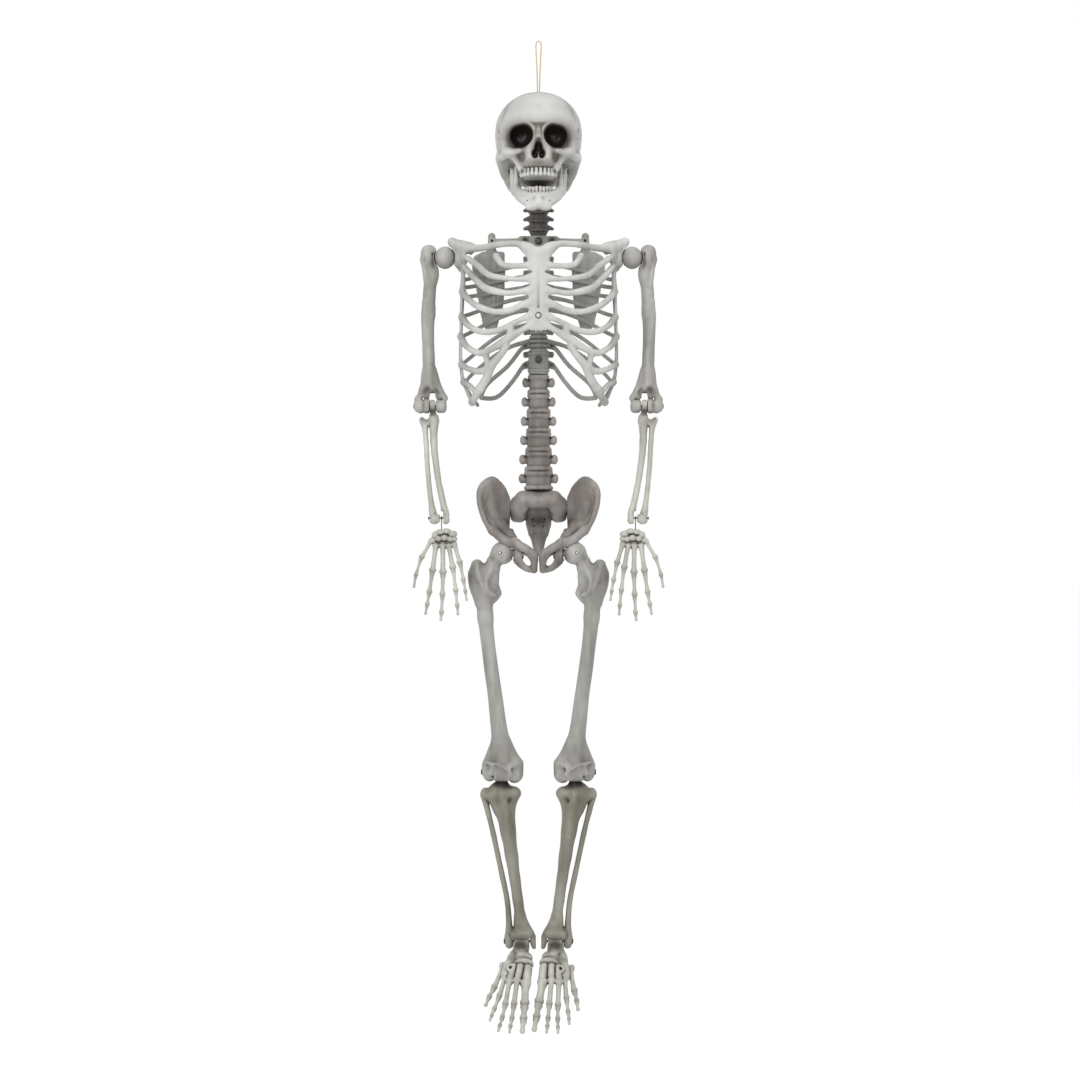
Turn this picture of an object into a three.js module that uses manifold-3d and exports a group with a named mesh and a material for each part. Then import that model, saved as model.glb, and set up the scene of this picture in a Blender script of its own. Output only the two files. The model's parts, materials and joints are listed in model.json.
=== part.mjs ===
// A life-size hanging skeleton figure: moulded plastic bones joined by swivel links, pins and screws.
// Millimetres, +Z up. The figure faces -Y and its left side is at +X.
// The origin is the inside top of the hanging loop, so the whole figure hangs below it.
import * as THREE from "three";
import { mergeVertices } from "three/addons/utils/BufferGeometryUtils.js";
import Module from "manifold-3d";

const wasm = await Module();
wasm.setup();

// ---------- Driving dimensions ----------
const GAP = 0.6; // between two pieces that face each other
const SCREW_R = 1.9;
const SCREW_HOLE_R = 2.3;
const PIN_R = 2.4;
const PIN_HOLE_R = 3;

const CROWN_Z = -86;
const SKULL = { z: -158, halfWidth: 70, halfDepth: 84, halfHeight: 72, wall: 4 };
const SKULL_BASE_Z = -196;
const SKULL_SEAM_Y = -8; // where the face shell meets the rear shell
const SKULL_POST_FRONT_Y = -45; // the face is solid in front of this
const JAW = { x: 42, y: -16, z: -212 };
const NECK = { y: 20, turnZ: -238, nodZ: -251 };
const SPINE_Y = 40;
const CHEST_TOP_Z = -308;
const NECK_SCREW_Z = -318;
const RIB_SEAM_Y = -6; // where the front cage meets the rear cage
const CHEST_SCREW_Z = -450;
const WAIST_Z = -534;
const WAIST_SCREW_Z = WAIST_Z + 24;
const SACRUM_Z = -722;
const VERTEBRAE = 6;
const SHOULDER = { x: 151, y: 0, z: -348, r: 17 };
const ELBOW = { x: 171, y: 4, z: -587, r: 11.5 };
const WRIST = { x: 155, y: -30, z: -768 };
const HIP = { x: 58, y: 2, z: -824, r: 19 };
const KNEE = { x: 58, y: 2, z: -1177, r: 13 };
const ANKLE = { x: 28, y: 8, z: -1451 };
const FOOT_POINT = 33; // the hanging foot, down from a standing one, in degrees
const FOOT_TURN = -6; // both forefeet swing to the right as they hang, in degrees
const LOOP = { cordR: 1, halfWidth: 4, neckZ: -55 };
const KNOT_Z = -95.4;

// ---------- Materials ----------
const plastic = (color) => new THREE.MeshStandardMaterial({ color, roughness: 0.6, metalness: 0 });
const PALE_BONE = plastic(0xc6c6c0);
const GREY_BONE = plastic(0x98958f);
const SPINE_BONE = plastic(0x77716d);
const OLIVE_BONE = plastic(0x8d8d82);
const SMALL_BONE = plastic(0xb1b1a3);
const STEEL = new THREE.MeshStandardMaterial({ color: 0x77777a, roughness: 0.35, metalness: 0.9 });
const TWINE = new THREE.MeshStandardMaterial({ color: 0xb59a66, roughness: 0.9, metalness: 0 });

// ---------- Solid helpers ----------
const vec = (p) => new THREE.Vector3(...p);

function solid(geometry) {
  const bare = geometry.index ? geometry.toNonIndexed() : geometry;
  const open = new THREE.BufferGeometry().setAttribute("position", bare.getAttribute("position"));
  const merged = mergeVertices(open, 1e-4);
  return new wasm.Manifold(
    new wasm.Mesh({
      numProp: 3,
      vertProperties: merged.attributes.position.array,
      triVerts: new Uint32Array(merged.index.array),
    }),
  );
}

const join = (...solids) => solids.flat(9).reduce((a, b) => a.add(b));
const cut = (body, ...tools) => tools.flat(9).reduce((a, b) => a.subtract(b), body);

function mesh(name, shape, material) {
  const { numProp, vertProperties, triVerts } = shape.getMesh();
  const count = vertProperties.length / numProp;
  const positions = new Float32Array(count * 3);
  for (let i = 0; i < count; i++)
    positions.set(vertProperties.subarray(i * numProp, i * numProp + 3), i * 3);
  const geometry = new THREE.BufferGeometry()
    .setAttribute("position", new THREE.BufferAttribute(positions, 3))
    .setIndex(new THREE.BufferAttribute(new Uint32Array(triVerts), 1));
  geometry.computeVertexNormals();
  const made = new THREE.Mesh(geometry, material);
  made.name = name;
  return made;
}

// An ellipsoid with its poles along Z.
function ball(at, rx, ry = rx, rz = rx, around = 8, down = 6) {
  const g = new THREE.SphereGeometry(1, around, down).rotateX(Math.PI / 2);
  return solid(g.scale(rx, ry, rz).translate(...at));
}

function pointed(geometry, a, b) {
  const way = vec(b).sub(vec(a)).normalize();
  const up = new THREE.Vector3(0, 1, 0);
  return geometry.applyQuaternion(new THREE.Quaternion().setFromUnitVectors(up, way));
}

// A straight round bar from a to b, tapered when the two radii differ.
function rod(a, b, ra, rb = ra, sides = 6) {
  const g = new THREE.CylinderGeometry(rb, ra, vec(a).distanceTo(vec(b)), sides);
  const middle = vec(a).add(vec(b)).multiplyScalar(0.5);
  return solid(pointed(g, a, b).translate(...middle.toArray()));
}

// A bone turned about the line from a to b: the profile lists [share of the length, radius].
function turned(a, b, profile, sides = 8) {
  const length = vec(a).distanceTo(vec(b));
  const points = profile.map(([t, r]) => new THREE.Vector2(r, t * length));
  const ends = [profile[0][0], profile.at(-1)[0]].map((t) => new THREE.Vector2(0, t * length));
  const lathe = new THREE.LatheGeometry([ends[0], ...points, ends[1]], sides);
  return solid(pointed(lathe, a, b).translate(...a));
}

// The box between two opposite corners.
function span(a, b) {
  const size = a.map((v, i) => Math.abs(b[i] - v));
  const centre = a.map((v, i) => (v + b[i]) / 2);
  return solid(new THREE.BoxGeometry(...size).translate(...centre));
}

// A bar of constant elliptical section that follows a smooth curve through the points.
function bent(points, ra, rb = ra, steps = 5, sides = 5) {
  const section = new THREE.Shape();
  for (let i = 0; i < sides; i++) {
    const angle = ((i + 0.5) / sides) * 2 * Math.PI;
    const corner = [ra * Math.cos(angle), rb * Math.sin(angle)];
    if (i) section.lineTo(...corner);
    else section.moveTo(...corner);
  }
  const extrudePath = new THREE.CatmullRomCurve3(points.map(vec), false, "centripetal");
  return solid(new THREE.ExtrudeGeometry(section, { steps, extrudePath }));
}

const shapeOf = (outline) => new THREE.Shape(outline.map(([u, v]) => new THREE.Vector2(u, v)));
const flat = (outline, depth) =>
  new THREE.ExtrudeGeometry(shapeOf(outline), { depth, bevelEnabled: false });

// Plates cut from an outline: facing Y from [x, z], facing X from [y, z], lying level from [x, y].
// A plate that faces Y can slant, going back by `slant` for each millimetre along X.
function plateY(outline, y, depth, slant = 0) {
  const shear = new THREE.Matrix4().set(1, 0, 0, 0, slant, 1, 0, 0, 0, 0, 1, 0, 0, 0, 0, 1);
  const g = flat(outline, depth).rotateX(Math.PI / 2).translate(0, y + depth, 0);
  return solid(g.applyMatrix4(shear));
}
const plateX = (outline, x, depth) =>
  solid(flat(outline, depth).rotateY(Math.PI / 2).rotateX(Math.PI / 2).translate(x, 0, 0));
const plateZ = (outline, z, depth) => solid(flat(outline, depth).translate(0, 0, z));

// A screw or headed pin from its tip to its head.
function headed(tip, head, shankR, headR, headLength = 2.4) {
  const way = vec(head).sub(vec(tip)).normalize();
  const under = vec(head).addScaledVector(way, -0.2).toArray();
  const top = vec(head).addScaledVector(way, headLength).toArray();
  return join(rod(tip, head, shankR), rod(under, top, headR));
}

// Points are written for the left side (+X); `side` is 1 for left and -1 for right.
const sided = (side) => (p) => [side * p[0], p[1], p[2]];
const SIDES = { left: 1, right: -1 };
const bothSides = (make) => Object.values(SIDES).map((side) => make(sided(side), side));
const spanX = (s, a, b) => span(s(a), s(b));

// ---------- Skull, jaw and hanging loop ----------
function skullShells() {
  const { z, halfWidth, halfDepth, halfHeight, wall } = SKULL;
  const above = (height) => span([-90, -110, height], [90, 110, -60]);
  const vault = ball([0, 0, z], halfWidth, halfDepth, halfHeight, 14, 10);
  const vaultInside = ball([0, 0, z], halfWidth - wall, halfDepth - wall, halfHeight - wall, 12, 8);
  const occiput = ball([0, 36, SKULL_BASE_Z], 47, 40, 38, 10, 6);
  const occiputInside = ball([0, 36, SKULL_BASE_Z], 42, 35, 33, 8, 6);
  const outer = join(
    vault.intersect(above(SKULL_BASE_Z)),
    occiput,
    ball([0, -58, -184], 34, 27, 40, 10, 6), // middle of the face
    ball([0, -66, -214], 27, 26, 22, 10, 6), // upper jaw
    bothSides((s) => [
      rod(s([46, 16, SKULL_BASE_Z + 4]), s([45, 14, -236]), 10, 5), // mastoid
      bent([s([30, -76, -192]), s([54, -62, -194]), s([64, -34, -192]), s([61, -2, -182])], 6, 5, 5),
      bent([s([18, -80, -143]), s([38, -74, -147]), s([50, -64, -166]), s([42, -70, -190])], 6, 6, 5),
      spanX(s, [29, -28, SKULL_BASE_Z + 2], [37.4, -9, JAW.z - 8]), // boss for the jaw screw
    ]),
  );
  const hollow = join(vaultInside.intersect(above(SKULL_BASE_Z + wall)), occiputInside).intersect(
    span([-90, SKULL_POST_FRONT_Y, -60], [90, 110, -260]),
  );
  const boss = rod([0, NECK.y, -236], [0, NECK.y, -222], 15, 15, 10);
  const shell = cut(
    join(cut(outer, hollow), boss),
    rod([0, NECK.y, -250], [0, NECK.y, -200], 7, 7, 10),
    rod([0, NECK.y, -221.6], [0, NECK.y, -205], 13, 13, 8), // room for the retaining screw
    rod([0, 0, -110], [0, 0, -80], 3), // the loop's hole in the crown
    bent([[0, -100, -188], [0, -62, -184]], 10, 14, 2, 8), // nose opening
    span([-40, -120, -229], [40, SKULL_SEAM_Y - 1, -250]), // flat underside of the upper jaw
    bothSides((s) => [
      ball(s([27, -78, -164]), 18, 28, 18, 8, 6), // eye socket
      rod(s([24, JAW.y, JAW.z]), s([40, JAW.y, JAW.z]), SCREW_HOLE_R),
    ]),
  );
  return {
    face: shell.intersect(span([-100, -130, -60], [100, SKULL_SEAM_Y - GAP / 2, -260])),
    rear: shell.intersect(span([-100, SKULL_SEAM_Y + GAP / 2, -60], [100, 130, -260])),
  };
}

function mandible() {
  const outerArc = [[44, -22], [43, -44], [35, -66], [20, -82], [0, -87]];
  const innerArc = [[0, -72], [13, -68], [25, -56], [33, -40], [35, -22]];
  const mirrored = (arc) => arc.slice(0, -1).map(([x, y]) => [-x, y]);
  const horseshoe = [...outerArc, ...mirrored(outerArc).reverse()].concat(
    [...innerArc].slice(1).map(([x, y]) => [-x, y]).reverse(),
    innerArc,
  );
  const teeth = horseshoe.map(([x, y]) => [x * 0.72, y * 0.94]);
  const ramus = [
    [-9, -207], [-13, -204], [-20, -204], [-26, -210], [-40, -246], [-42, -276], [-28, -278],
    [-14, -262], [-10, -232],
  ];
  return cut(
    join(
      plateZ(horseshoe, -286, 30),
      plateZ(teeth, -257, 12).intersect(span([-40, -100, -260], [40, -44, -240])),
      bothSides((s, side) => plateX(ramus, side > 0 ? 38.2 : -46, 7.8)),
    ),
    bothSides((s) => rod(s([36, JAW.y, JAW.z]), s([50, JAW.y, JAW.z]), PIN_HOLE_R)),
  );
}
const jawScrew = (s) => headed(s([25, JAW.y, JAW.z]), s([46.5, JAW.y, JAW.z]), SCREW_R, 4.6);

// The cord's centre line: up from the knot, round the top of the loop and back down.
function loopRoute() {
  const { cordR, halfWidth, neckZ } = LOOP;
  const rise = [
    [1.4, 0, KNOT_Z + 4.8], [1.4, 0, CROWN_Z], [1.7, 0, neckZ - 17], [2.2, 0, neckZ],
    [3, 0, -34], [halfWidth, 0, -12], [halfWidth, 0, -4], [2.9, 0, -0.6],
  ];
  return [...rise, [0, 0, cordR], ...rise.map(([x, y, z]) => [-x, y, z]).reverse()];
}
const hangingLoop = () => bent(loopRoute(), LOOP.cordR, LOOP.cordR, 32, 8);
const loopKnot = () => ball([0, 0, KNOT_Z], 5, 4.4, 4.4, 8, 6);

// ---------- Neck ----------
function neckSwivel() {
  const { y, nodZ, turnZ } = NECK;
  return cut(
    join(
      rod([0, y, -221.6], [0, y, turnZ], 6, 6, 10),
      rod([0, y, -236.6], [0, y, -240], 12, 12, 12),
      rod([-3.5, y, nodZ], [3.5, y, nodZ], 8, 8, 10),
      span([-3.5, y - 6, nodZ], [3.5, y + 6, -239]),
    ),
    rod([-8, y, nodZ], [8, y, nodZ], PIN_HOLE_R),
    rod([0, y, -215], [0, y, -234], SCREW_HOLE_R),
  );
}
const neckRetainer = () =>
  headed([0, NECK.y, -233], [0, NECK.y, -221.2], SCREW_R, 9.4, 2.4);
const neckPin = () => headed([-9.4, NECK.y, NECK.nodZ], [10, NECK.y, NECK.nodZ], PIN_R, 3.8, 2);

function cervicalSpine() {
  const { y, nodZ } = NECK;
  const lean = (z) => y + ((nodZ - z) / (nodZ - CHEST_TOP_Z)) * (SPINE_Y - y);
  return cut(
    join(
      rod([0, lean(-262), -262], [0, lean(-302), -302], 10.5, 11.5, 10),
      rod([0, SPINE_Y, -298], [0, SPINE_Y, -326], 9, 9, 10),
      [-267, -281, -295].map((z) => [
        rod([0, lean(z), z - 4], [0, lean(z), z + 4], 14.5, 14.5, 8),
        span([-23, lean(z) - 2, z - 3], [23, lean(z) + 6, z + 3]),
        span([-3, lean(z), z - 7], [3, lean(z) + 24, z]),
      ]),
      bothSides((s) => [
        rod(s([4.1, y, nodZ]), s([9.4, y, nodZ]), 8, 8, 10),
        spanX(s, [4.1, y - 7, nodZ], [9.4, y + 7, nodZ - 13]),
      ]),
    ),
    rod([-20, y, nodZ], [20, y, nodZ], PIN_HOLE_R),
    rod([0, 20, NECK_SCREW_Z], [0, 60, NECK_SCREW_Z], SCREW_HOLE_R),
  );
}

// ---------- Rib cage ----------
// Each front rib runs from the breastbone to the side seam.
const FRONT_RIBS = [
  [[13, -80, -369], [51, -76, -370], [61, -71, -365], [68, -62, -351]],
  [[13, -83, -390], [53, -78, -390], [79, -70, -384], [94, -56, -370], [118, -20, -348]],
  [[13, -85, -412], [43, -82, -414], [79, -72, -407], [93, -62, -399], [119, -18, -365]],
  [[13, -86, -431], [37, -84, -439], [67, -78, -443], [97, -60, -432], [119, -14, -406]],
  [[13, -86, -451], [61, -79, -472], [88, -68, -474], [110, -48, -463], [122, -14, -445]],
  [[12, -86, -467], [73, -76, -501], [93, -64, -507], [114, -42, -495], [125, -12, -476]],
  [
    [48, -82, -496], [61, -78, -514], [70, -73, -523], [95, -60, -536], [112, -42, -530],
    [123, -12, -523],
  ],
  [
    [73, -72, -528], [83, -66, -548], [93, -56, -563], [101, -48, -566], [110, -34, -556],
    [120, -12, -549],
  ],
  [[93, -56, -563], [99, -46, -574], [106, -22, -580]],
];
const SIDE_RAIL = [
  [121, -9, -372], [125, -10, -470], [124, -10, -524], [118, -11, -556], [106, -18, -581],
];

function ribCageFront() {
  const { x, y, z, r } = SHOULDER;
  const breastbone = bent(
    [[0, -78, -339], [0, -82, -366], [0, -85, -405], [0, -87, -445], [0, -86, -473]], 18, 5.5, 4, 6,
  );
  const half = (s) => [
    FRONT_RIBS.map((points) => bent(points.map(s), 5.4, 5.4, points.length, 4)),
    bent([s([10, -78, -346]), s([53, -68, -335]), s([92, -40, -335]), s([124, -8, -333])], 6, 6, 4),
    rod(s([122, y, z]), s([131.5, y, z]), 16, 16, 8), // shoulder block
    bent([s([112, -14, -336]), s([126, -8, -333]), s([140, -3, -323])], 8, 8, 3),
    bent([s([125, -8, -358]), s([121, -9, -380]), s([122, -10, -408])], 5, 5, 3),
    bent(SIDE_RAIL.map(s), 3.6, 3.6, 5, 4),
  ];
  const socketRoom = (s) => [
    ball(s([x, y, z]), r + 2.6, r + 2.6, r + 2.6),
    rod(s([90, y, z]), s([140, y, z]), 7, 7, 8),
    spanX(s, [97, -12, z - 12], [121.8, 12, z + 12]),
  ];
  return cut(
    join(breastbone, span([-21, -84, -360], [21, -74, -339]), bothSides(half)),
    bothSides(socketRoom),
    span([-160, RIB_SEAM_Y, -372], [160, 60, -600]),
    rod([0, -100, CHEST_SCREW_Z], [0, -70, CHEST_SCREW_Z], SCREW_HOLE_R),
    rod([0, -100, CHEST_SCREW_Z], [0, -87.6, CHEST_SCREW_Z], 5.2),
  );
}

// Rear ribs: height at the spine, reach at the side rail, height at the side rail.
const REAR_RIBS = [
  [-352, 120, -384],
  [-372, 121, -396],
  [-390, 122, -411],
  [-406, 123, -443],
  [-426, 125, -476],
  [-450, 124, -521],
  [-478, 119, -551],
];
const FLOATING_RIBS = [
  [[8, 42, -484], [50, 66, -517], [83, 56, -547], [93, 20, -569]],
  [[8, 42, -510], [42, 64, -542], [63, 54, -566], [93, 10, -573]],
];
const REAR_RAIL = [
  [120, -1, -380], [125, -1, -470], [125, -1, -524], [118, -1, -556], [98, -2, -586],
];
const SCAPULA_POST = [76, 54, -314];

function ribCageRear() {
  const [postX, , postZ] = SCAPULA_POST;
  const spine = join(
    rod([0, SPINE_Y, CHEST_TOP_Z - GAP], [0, SPINE_Y, CHEST_TOP_Z - 24], 19, 19, 10),
    rod([0, SPINE_Y, CHEST_TOP_Z - 22], [0, SPINE_Y, WAIST_Z + 44], 14, 15, 8),
    rod([0, SPINE_Y, WAIST_Z + 46], [0, SPINE_Y, WAIST_Z + 0.4], 17.5, 17.5, 10),
    [-345, -373, -401, -429, -457, -485].map((z) => [
      span([-25, SPINE_Y, z - 4], [25, SPINE_Y + 8, z + 4]),
      span([-3.5, SPINE_Y, z - 8], [3.5, SPINE_Y + 32, z]),
    ]),
  );
  const half = (s) => [
    REAR_RIBS.map(([z, reach, low]) => {
      const at = (share) => z + (low - z) * share;
      const arc = [
        [12, 44, z], [44, 64, at(0.1)], [76, 66, at(0.35)], [108, 40, at(0.75)], [reach, -2, low],
      ];
      return bent(arc.map(s), 4.4, 3.4, 4, 4);
    }),
    FLOATING_RIBS.map((points) => bent(points.map(s), 4.4, 3.4, 4, 4)),
    bent(REAR_RAIL.map(s), 3.6, 3.6, 5, 4),
    bent([s([0, SPINE_Y, postZ + 1]), s([40, 48, postZ]), s(SCAPULA_POST)], 5, 5, 3),
    rod(s([postX, 48, postZ]), s([postX, 71.4, postZ]), 6.5),
  ];
  const strut = rod([0, SPINE_Y, CHEST_SCREW_Z], [0, -79.6, CHEST_SCREW_Z], 8, 6);
  return cut(
    join(cut(join(spine, bothSides(half)), span([-160, -60, -300], [160, RIB_SEAM_Y + GAP, -600])), strut),
    rod([0, SPINE_Y, CHEST_TOP_Z + 5], [0, SPINE_Y, -327], 9.6, 9.6, 10), // socket for the neck
    rod([0, SPINE_Y, WAIST_Z + 33], [0, SPINE_Y, WAIST_Z - 5], 9.8, 9.8, 10), // socket for the waist
    [NECK_SCREW_Z, WAIST_SCREW_Z].map((z) => rod([0, SPINE_Y - 30, z], [0, 62, z], SCREW_HOLE_R)),
    rod([0, -100, CHEST_SCREW_Z], [0, -60, CHEST_SCREW_Z], SCREW_HOLE_R),
    bothSides((s) => rod(s([postX, 40, postZ]), s([postX, 80, postZ]), SCREW_HOLE_R)),
  );
}

function scapula(s) {
  const [postX, , postZ] = SCAPULA_POST;
  const outline = [
    [54, -334], [56, -400], [64, -440], [74, -464], [84, -464], [92, -440], [102, -395],
    [110, -352], [104, -332], [85, -326], [83.5, -297], [70, -297], [68, -328],
  ].map(([x, z]) => [s([x, 0, 0])[0], z]);
  return cut(
    join(plateY(outline, 72, 5), rod(s([58, 77, -356]), s([106, 77, -344]), 4, 4, 6)),
    rod(s([postX, 60, postZ]), s([postX, 90, postZ]), SCREW_HOLE_R),
  );
}
const scapulaScrew = (s) => {
  const [x, y, z] = SCAPULA_POST;
  return headed(s([x, y - 4, z]), s([x, 77.4, z]), SCREW_R, 4.2);
};
const chestScrew = () => headed([0, -64, CHEST_SCREW_Z], [0, -88.2, CHEST_SCREW_Z], SCREW_R, 4.2);
const spineScrew = (z, frontY) => headed([0, 58, z], [0, frontY, z], SCREW_R, 4.2);

// ---------- Lumbar spine, sacrum and hip bones ----------
function lumbarSpine() {
  const pitch = (WAIST_Z - SACRUM_Z) / VERTEBRAE;
  const bones = [...Array(VERTEBRAE).keys()].map((i) => {
    const top = WAIST_Z - GAP / 2 - i * pitch;
    const r = 18.3 + i * 0.8;
    const last = i === VERTEBRAE - 1;
    return [
      turned([0, SPINE_Y, top + (i ? 1 : 0)], [0, SPINE_Y, top - pitch + (last ? GAP : 0)],
        [[0, r], [0.2, r - 2.5], [0.75, r - 2.5], [0.93, r + 1], [1, r - 0.5]], 8),
      span([-27 - i, SPINE_Y - 1, top - 18], [27 + i, SPINE_Y + 9, top - 8]),
      span([-4, SPINE_Y, top - 22], [4, SPINE_Y + 38, top - 10]),
    ];
  });
  return cut(
    join(bones, rod([0, SPINE_Y, WAIST_Z + 32], [0, SPINE_Y, WAIST_Z - 6], 9.2, 9.2, 10)),
    rod([0, 0, WAIST_SCREW_Z], [0, 70, WAIST_SCREW_Z], SCREW_HOLE_R),
    rod([0, SPINE_Y, SACRUM_Z + 12], [0, SPINE_Y, SACRUM_Z - 5], SCREW_HOLE_R),
  );
}

const HIP_JOINT_X = 46; // outer face of the sacrum, where each hip bone is screwed on
function sacrum() {
  return cut(
    join(
      ball([0, 44, -746], 50, 22, 30, 12, 8).intersect(
        span([-HIP_JOINT_X, 0, SACRUM_Z], [HIP_JOINT_X, 80, -790]),
      ),
      bent([[0, 44, -752], [0, 60, -786], [0, 54, -812], [0, 44, -828]], 16, 8, 4, 8),
    ),
    bothSides((s) => rod(s([22, 46, -746]), s([60, 46, -746]), SCREW_HOLE_R)),
  );
}

const SIT_BONE = [
  [32, 6, HIP.z - 10], [34, 14, -846], [24, 8, -862], [10, -8, -862], [3.5, -18, -846],
];

function hipBone(s, side) {
  const edge = HIP_JOINT_X + GAP;
  const wing = [
    [edge, -728], [56, -712], [68, -704], [82, -705], [93, -715], [97, -730], [94, -752], [86, -772],
    [74, -788], [62, -800], [44, -806], [40, -792], [edge, -776],
  ].map(([x, z]) => [side * x, z]);
  const { y, z } = HIP;
  return cut(
    join(
      plateY(wing, 88, 8, -side * 1.0), // slants from the back at the sacrum to the front at its edge
      rod(s([27, y, z]), s([38, y, z]), 17, 17, 12), // hip socket
      bent([[34, 4, z + 12], [40, 18, -800], [50, 36, -782], [53, 44, -752]].map(s), 9, 9, 5, 8),
      bent([[32, -4, z + 8], [20, -16, -815], [6, -22, -828], [3.5, -20, -848]].map(s), 5, 6, 6),
      bent(SIT_BONE.map(s), 5, 6, 7),
      rod(s([30, 8, z - 8]), s([32, 20, -852]), 8, 7),
    ),
    span(s([0.4, -60, -700]), s([-20, 60, -900])),
    span(s([20, 0, -700]), s([edge, 70, -784])),
    rod(s([20, y, z]), s([44, y, z]), 7, 7, 10),
    spanX(s, [10, y - 11, z - 11], [26.8, y + 11, z + 11]),
    rod(s([40, 46, -746]), s([62, 46, -746]), SCREW_HOLE_R),
  );
}
const sacralScrew = (s) => headed(s([24, 46, -746]), s([56.5, 46, -746]), SCREW_R, 4.2);

// ---------- Arms ----------
function shoulderBall(s) {
  const { x, y, z, r } = SHOULDER;
  return cut(
    join(ball(s([x, y, z]), r, r, r, 10, 8), rod(s([x - 12.5, y, z]), s([121.8, y, z]), 6, 6, 10)),
    spanX(s, [x - 11.8, y - 4.6, z - 20], [x + 20, y + 4.6, z + 20]), // slot for the arm's tongue
    rod(s([x, y - 20, z]), s([x, y + 20, z]), PIN_HOLE_R),
    rod(s([115, y, z]), s([136, y, z]), SCREW_HOLE_R),
  );
}
const shoulderScrew = (s) => {
  const { y, z } = SHOULDER;
  return headed(s([135, y, z]), s([121.2, y, z]), SCREW_R, 10, 3);
};
const shoulderPin = (s) => {
  const { x, z } = SHOULDER;
  return rod(s([x, -16, z]), s([x, 16, z]), PIN_R);
};

function humerus(s) {
  const { x, y, z, r } = SHOULDER;
  const ballRoom = ball(s([x, y, z]), r + 1.4, r + 1.4, r + 1.4, 10, 8);
  const head = cut(ball(s([176, 0, -349]), 12.5, 15, 20), ballRoom);
  const shaft = [[0, 11], [0.1, 10.5], [0.5, 9.6], [0.85, 10], [1, 11]];
  return cut(
    join(
      head,
      rod(s([x, y - 4, z]), s([x, y + 4, z]), 11, 11, 12),
      spanX(s, [x, y - 4, z - 10], [x + 22, y + 4, z + 9]),
      turned(s([177, 1, -360]), s([175, 3, -560]), shaft, 8),
      rod(s([177, 3, -540]), s([189, ELBOW.y, -582]), 9, 9),
      rod(s([174, 3, -540]), s([157, ELBOW.y, -582]), 9, 9),
      rod(s([147, ELBOW.y, ELBOW.z]), s([199, ELBOW.y, ELBOW.z]), ELBOW.r, ELBOW.r, 12),
    ),
    spanX(s, [ELBOW.x - 4.8, -30, -570], [ELBOW.x + 4.8, 40, -612]), // slot for the forearm's tongue
    rod(s([x, y - 20, z]), s([x, y + 20, z]), PIN_HOLE_R),
    rod(s([140, ELBOW.y, ELBOW.z]), s([210, ELBOW.y, ELBOW.z]), PIN_HOLE_R),
  );
}
const RADIUS_BONE = [
  [183, 3, -610], [181, -3, -640], [178, -13, -690], [171, -24, -745], [166, -28, -766],
];
const ULNA_BONE = [
  [166, 3, -610], [169, -3, -640], [163, -13, -690], [153, -24, -745], [149, -28, -766],
];
const elbowScrew = (s) => headed(s([148, ELBOW.y, ELBOW.z]), s([199.6, ELBOW.y, ELBOW.z]), PIN_R, 4.6);

function forearm(s) {
  const { x, y, z } = ELBOW;
  return cut(
    join(
      rod(s([x - 4, y, z]), s([x + 4, y, z]), 10.5, 10.5, 12),
      spanX(s, [x - 4, y - 7, z], [x + 4, y + 7, z - 20]),
      spanX(s, [157, -4, -603], [193, 9, -616]),
      bent(RADIUS_BONE.map(s), 4.6, 4.6, 5, 6),
      bent(ULNA_BONE.map(s), 5.2, 5.2, 5, 6),
      spanX(s, [142.5, -36, -753], [174, -23, -776]),
    ),
    rod(s([140, y, z]), s([210, y, z]), PIN_HOLE_R),
    spanX(s, [WRIST.x - 2.9, -50, -761], [WRIST.x + 2.9, -10, -790]), // gap for the wire eye
    rod(s([140, WRIST.y, WRIST.z]), s([180, WRIST.y, WRIST.z]), 1.9),
  );
}
const WIRE_R = 0.9;
const wristPin = (s) => headed(s([144, WRIST.y, WRIST.z]), s([175, WRIST.y, WRIST.z]), 1.4, 2.6, 1.6);

function wristEye(s) {
  const at = s([WRIST.x, WRIST.y, WRIST.z]);
  const ring = new THREE.TorusGeometry(2.8, WIRE_R, 6, 12).rotateY(Math.PI / 2).translate(...at);
  return join(solid(ring), rod([at[0], at[1], at[2] - 2.9], [at[0], at[1], at[2] - 27], WIRE_R, WIRE_R, 6));
}

// Thumb and fingers, from the wrist end to the tip.
const FINGERS = [
  [[174, -31, -803], [188, -34, -832], [199, -38, -880]],
  [[165, -31, -811], [170, -34, -852], [181, -38, -923]],
  [[154, -31, -808], [153, -34, -853], [156, -38, -932]],
  [[144, -31, -811], [138, -34, -845], [130, -38, -924]],
  [[136, -31, -809], [127, -34, -838], [118, -38, -900]],
];

function hand(s) {
  const bone = (a, b, ra, rb) => rod(s(a), s(b), ra, rb, 6);
  return cut(
    join(
      ball(s([155, -30, -801]), 25, 8, 15, 12, 6),
      FINGERS.map(([root, knuckle, tip]) => [bone(root, knuckle, 5.5, 4), bone(knuckle, tip, 4.6, 2.6)]),
    ),
    rod(s([WRIST.x, WRIST.y, -780]), s([WRIST.x, WRIST.y, -797]), 1.3, 1.3, 6),
  );
}

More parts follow.
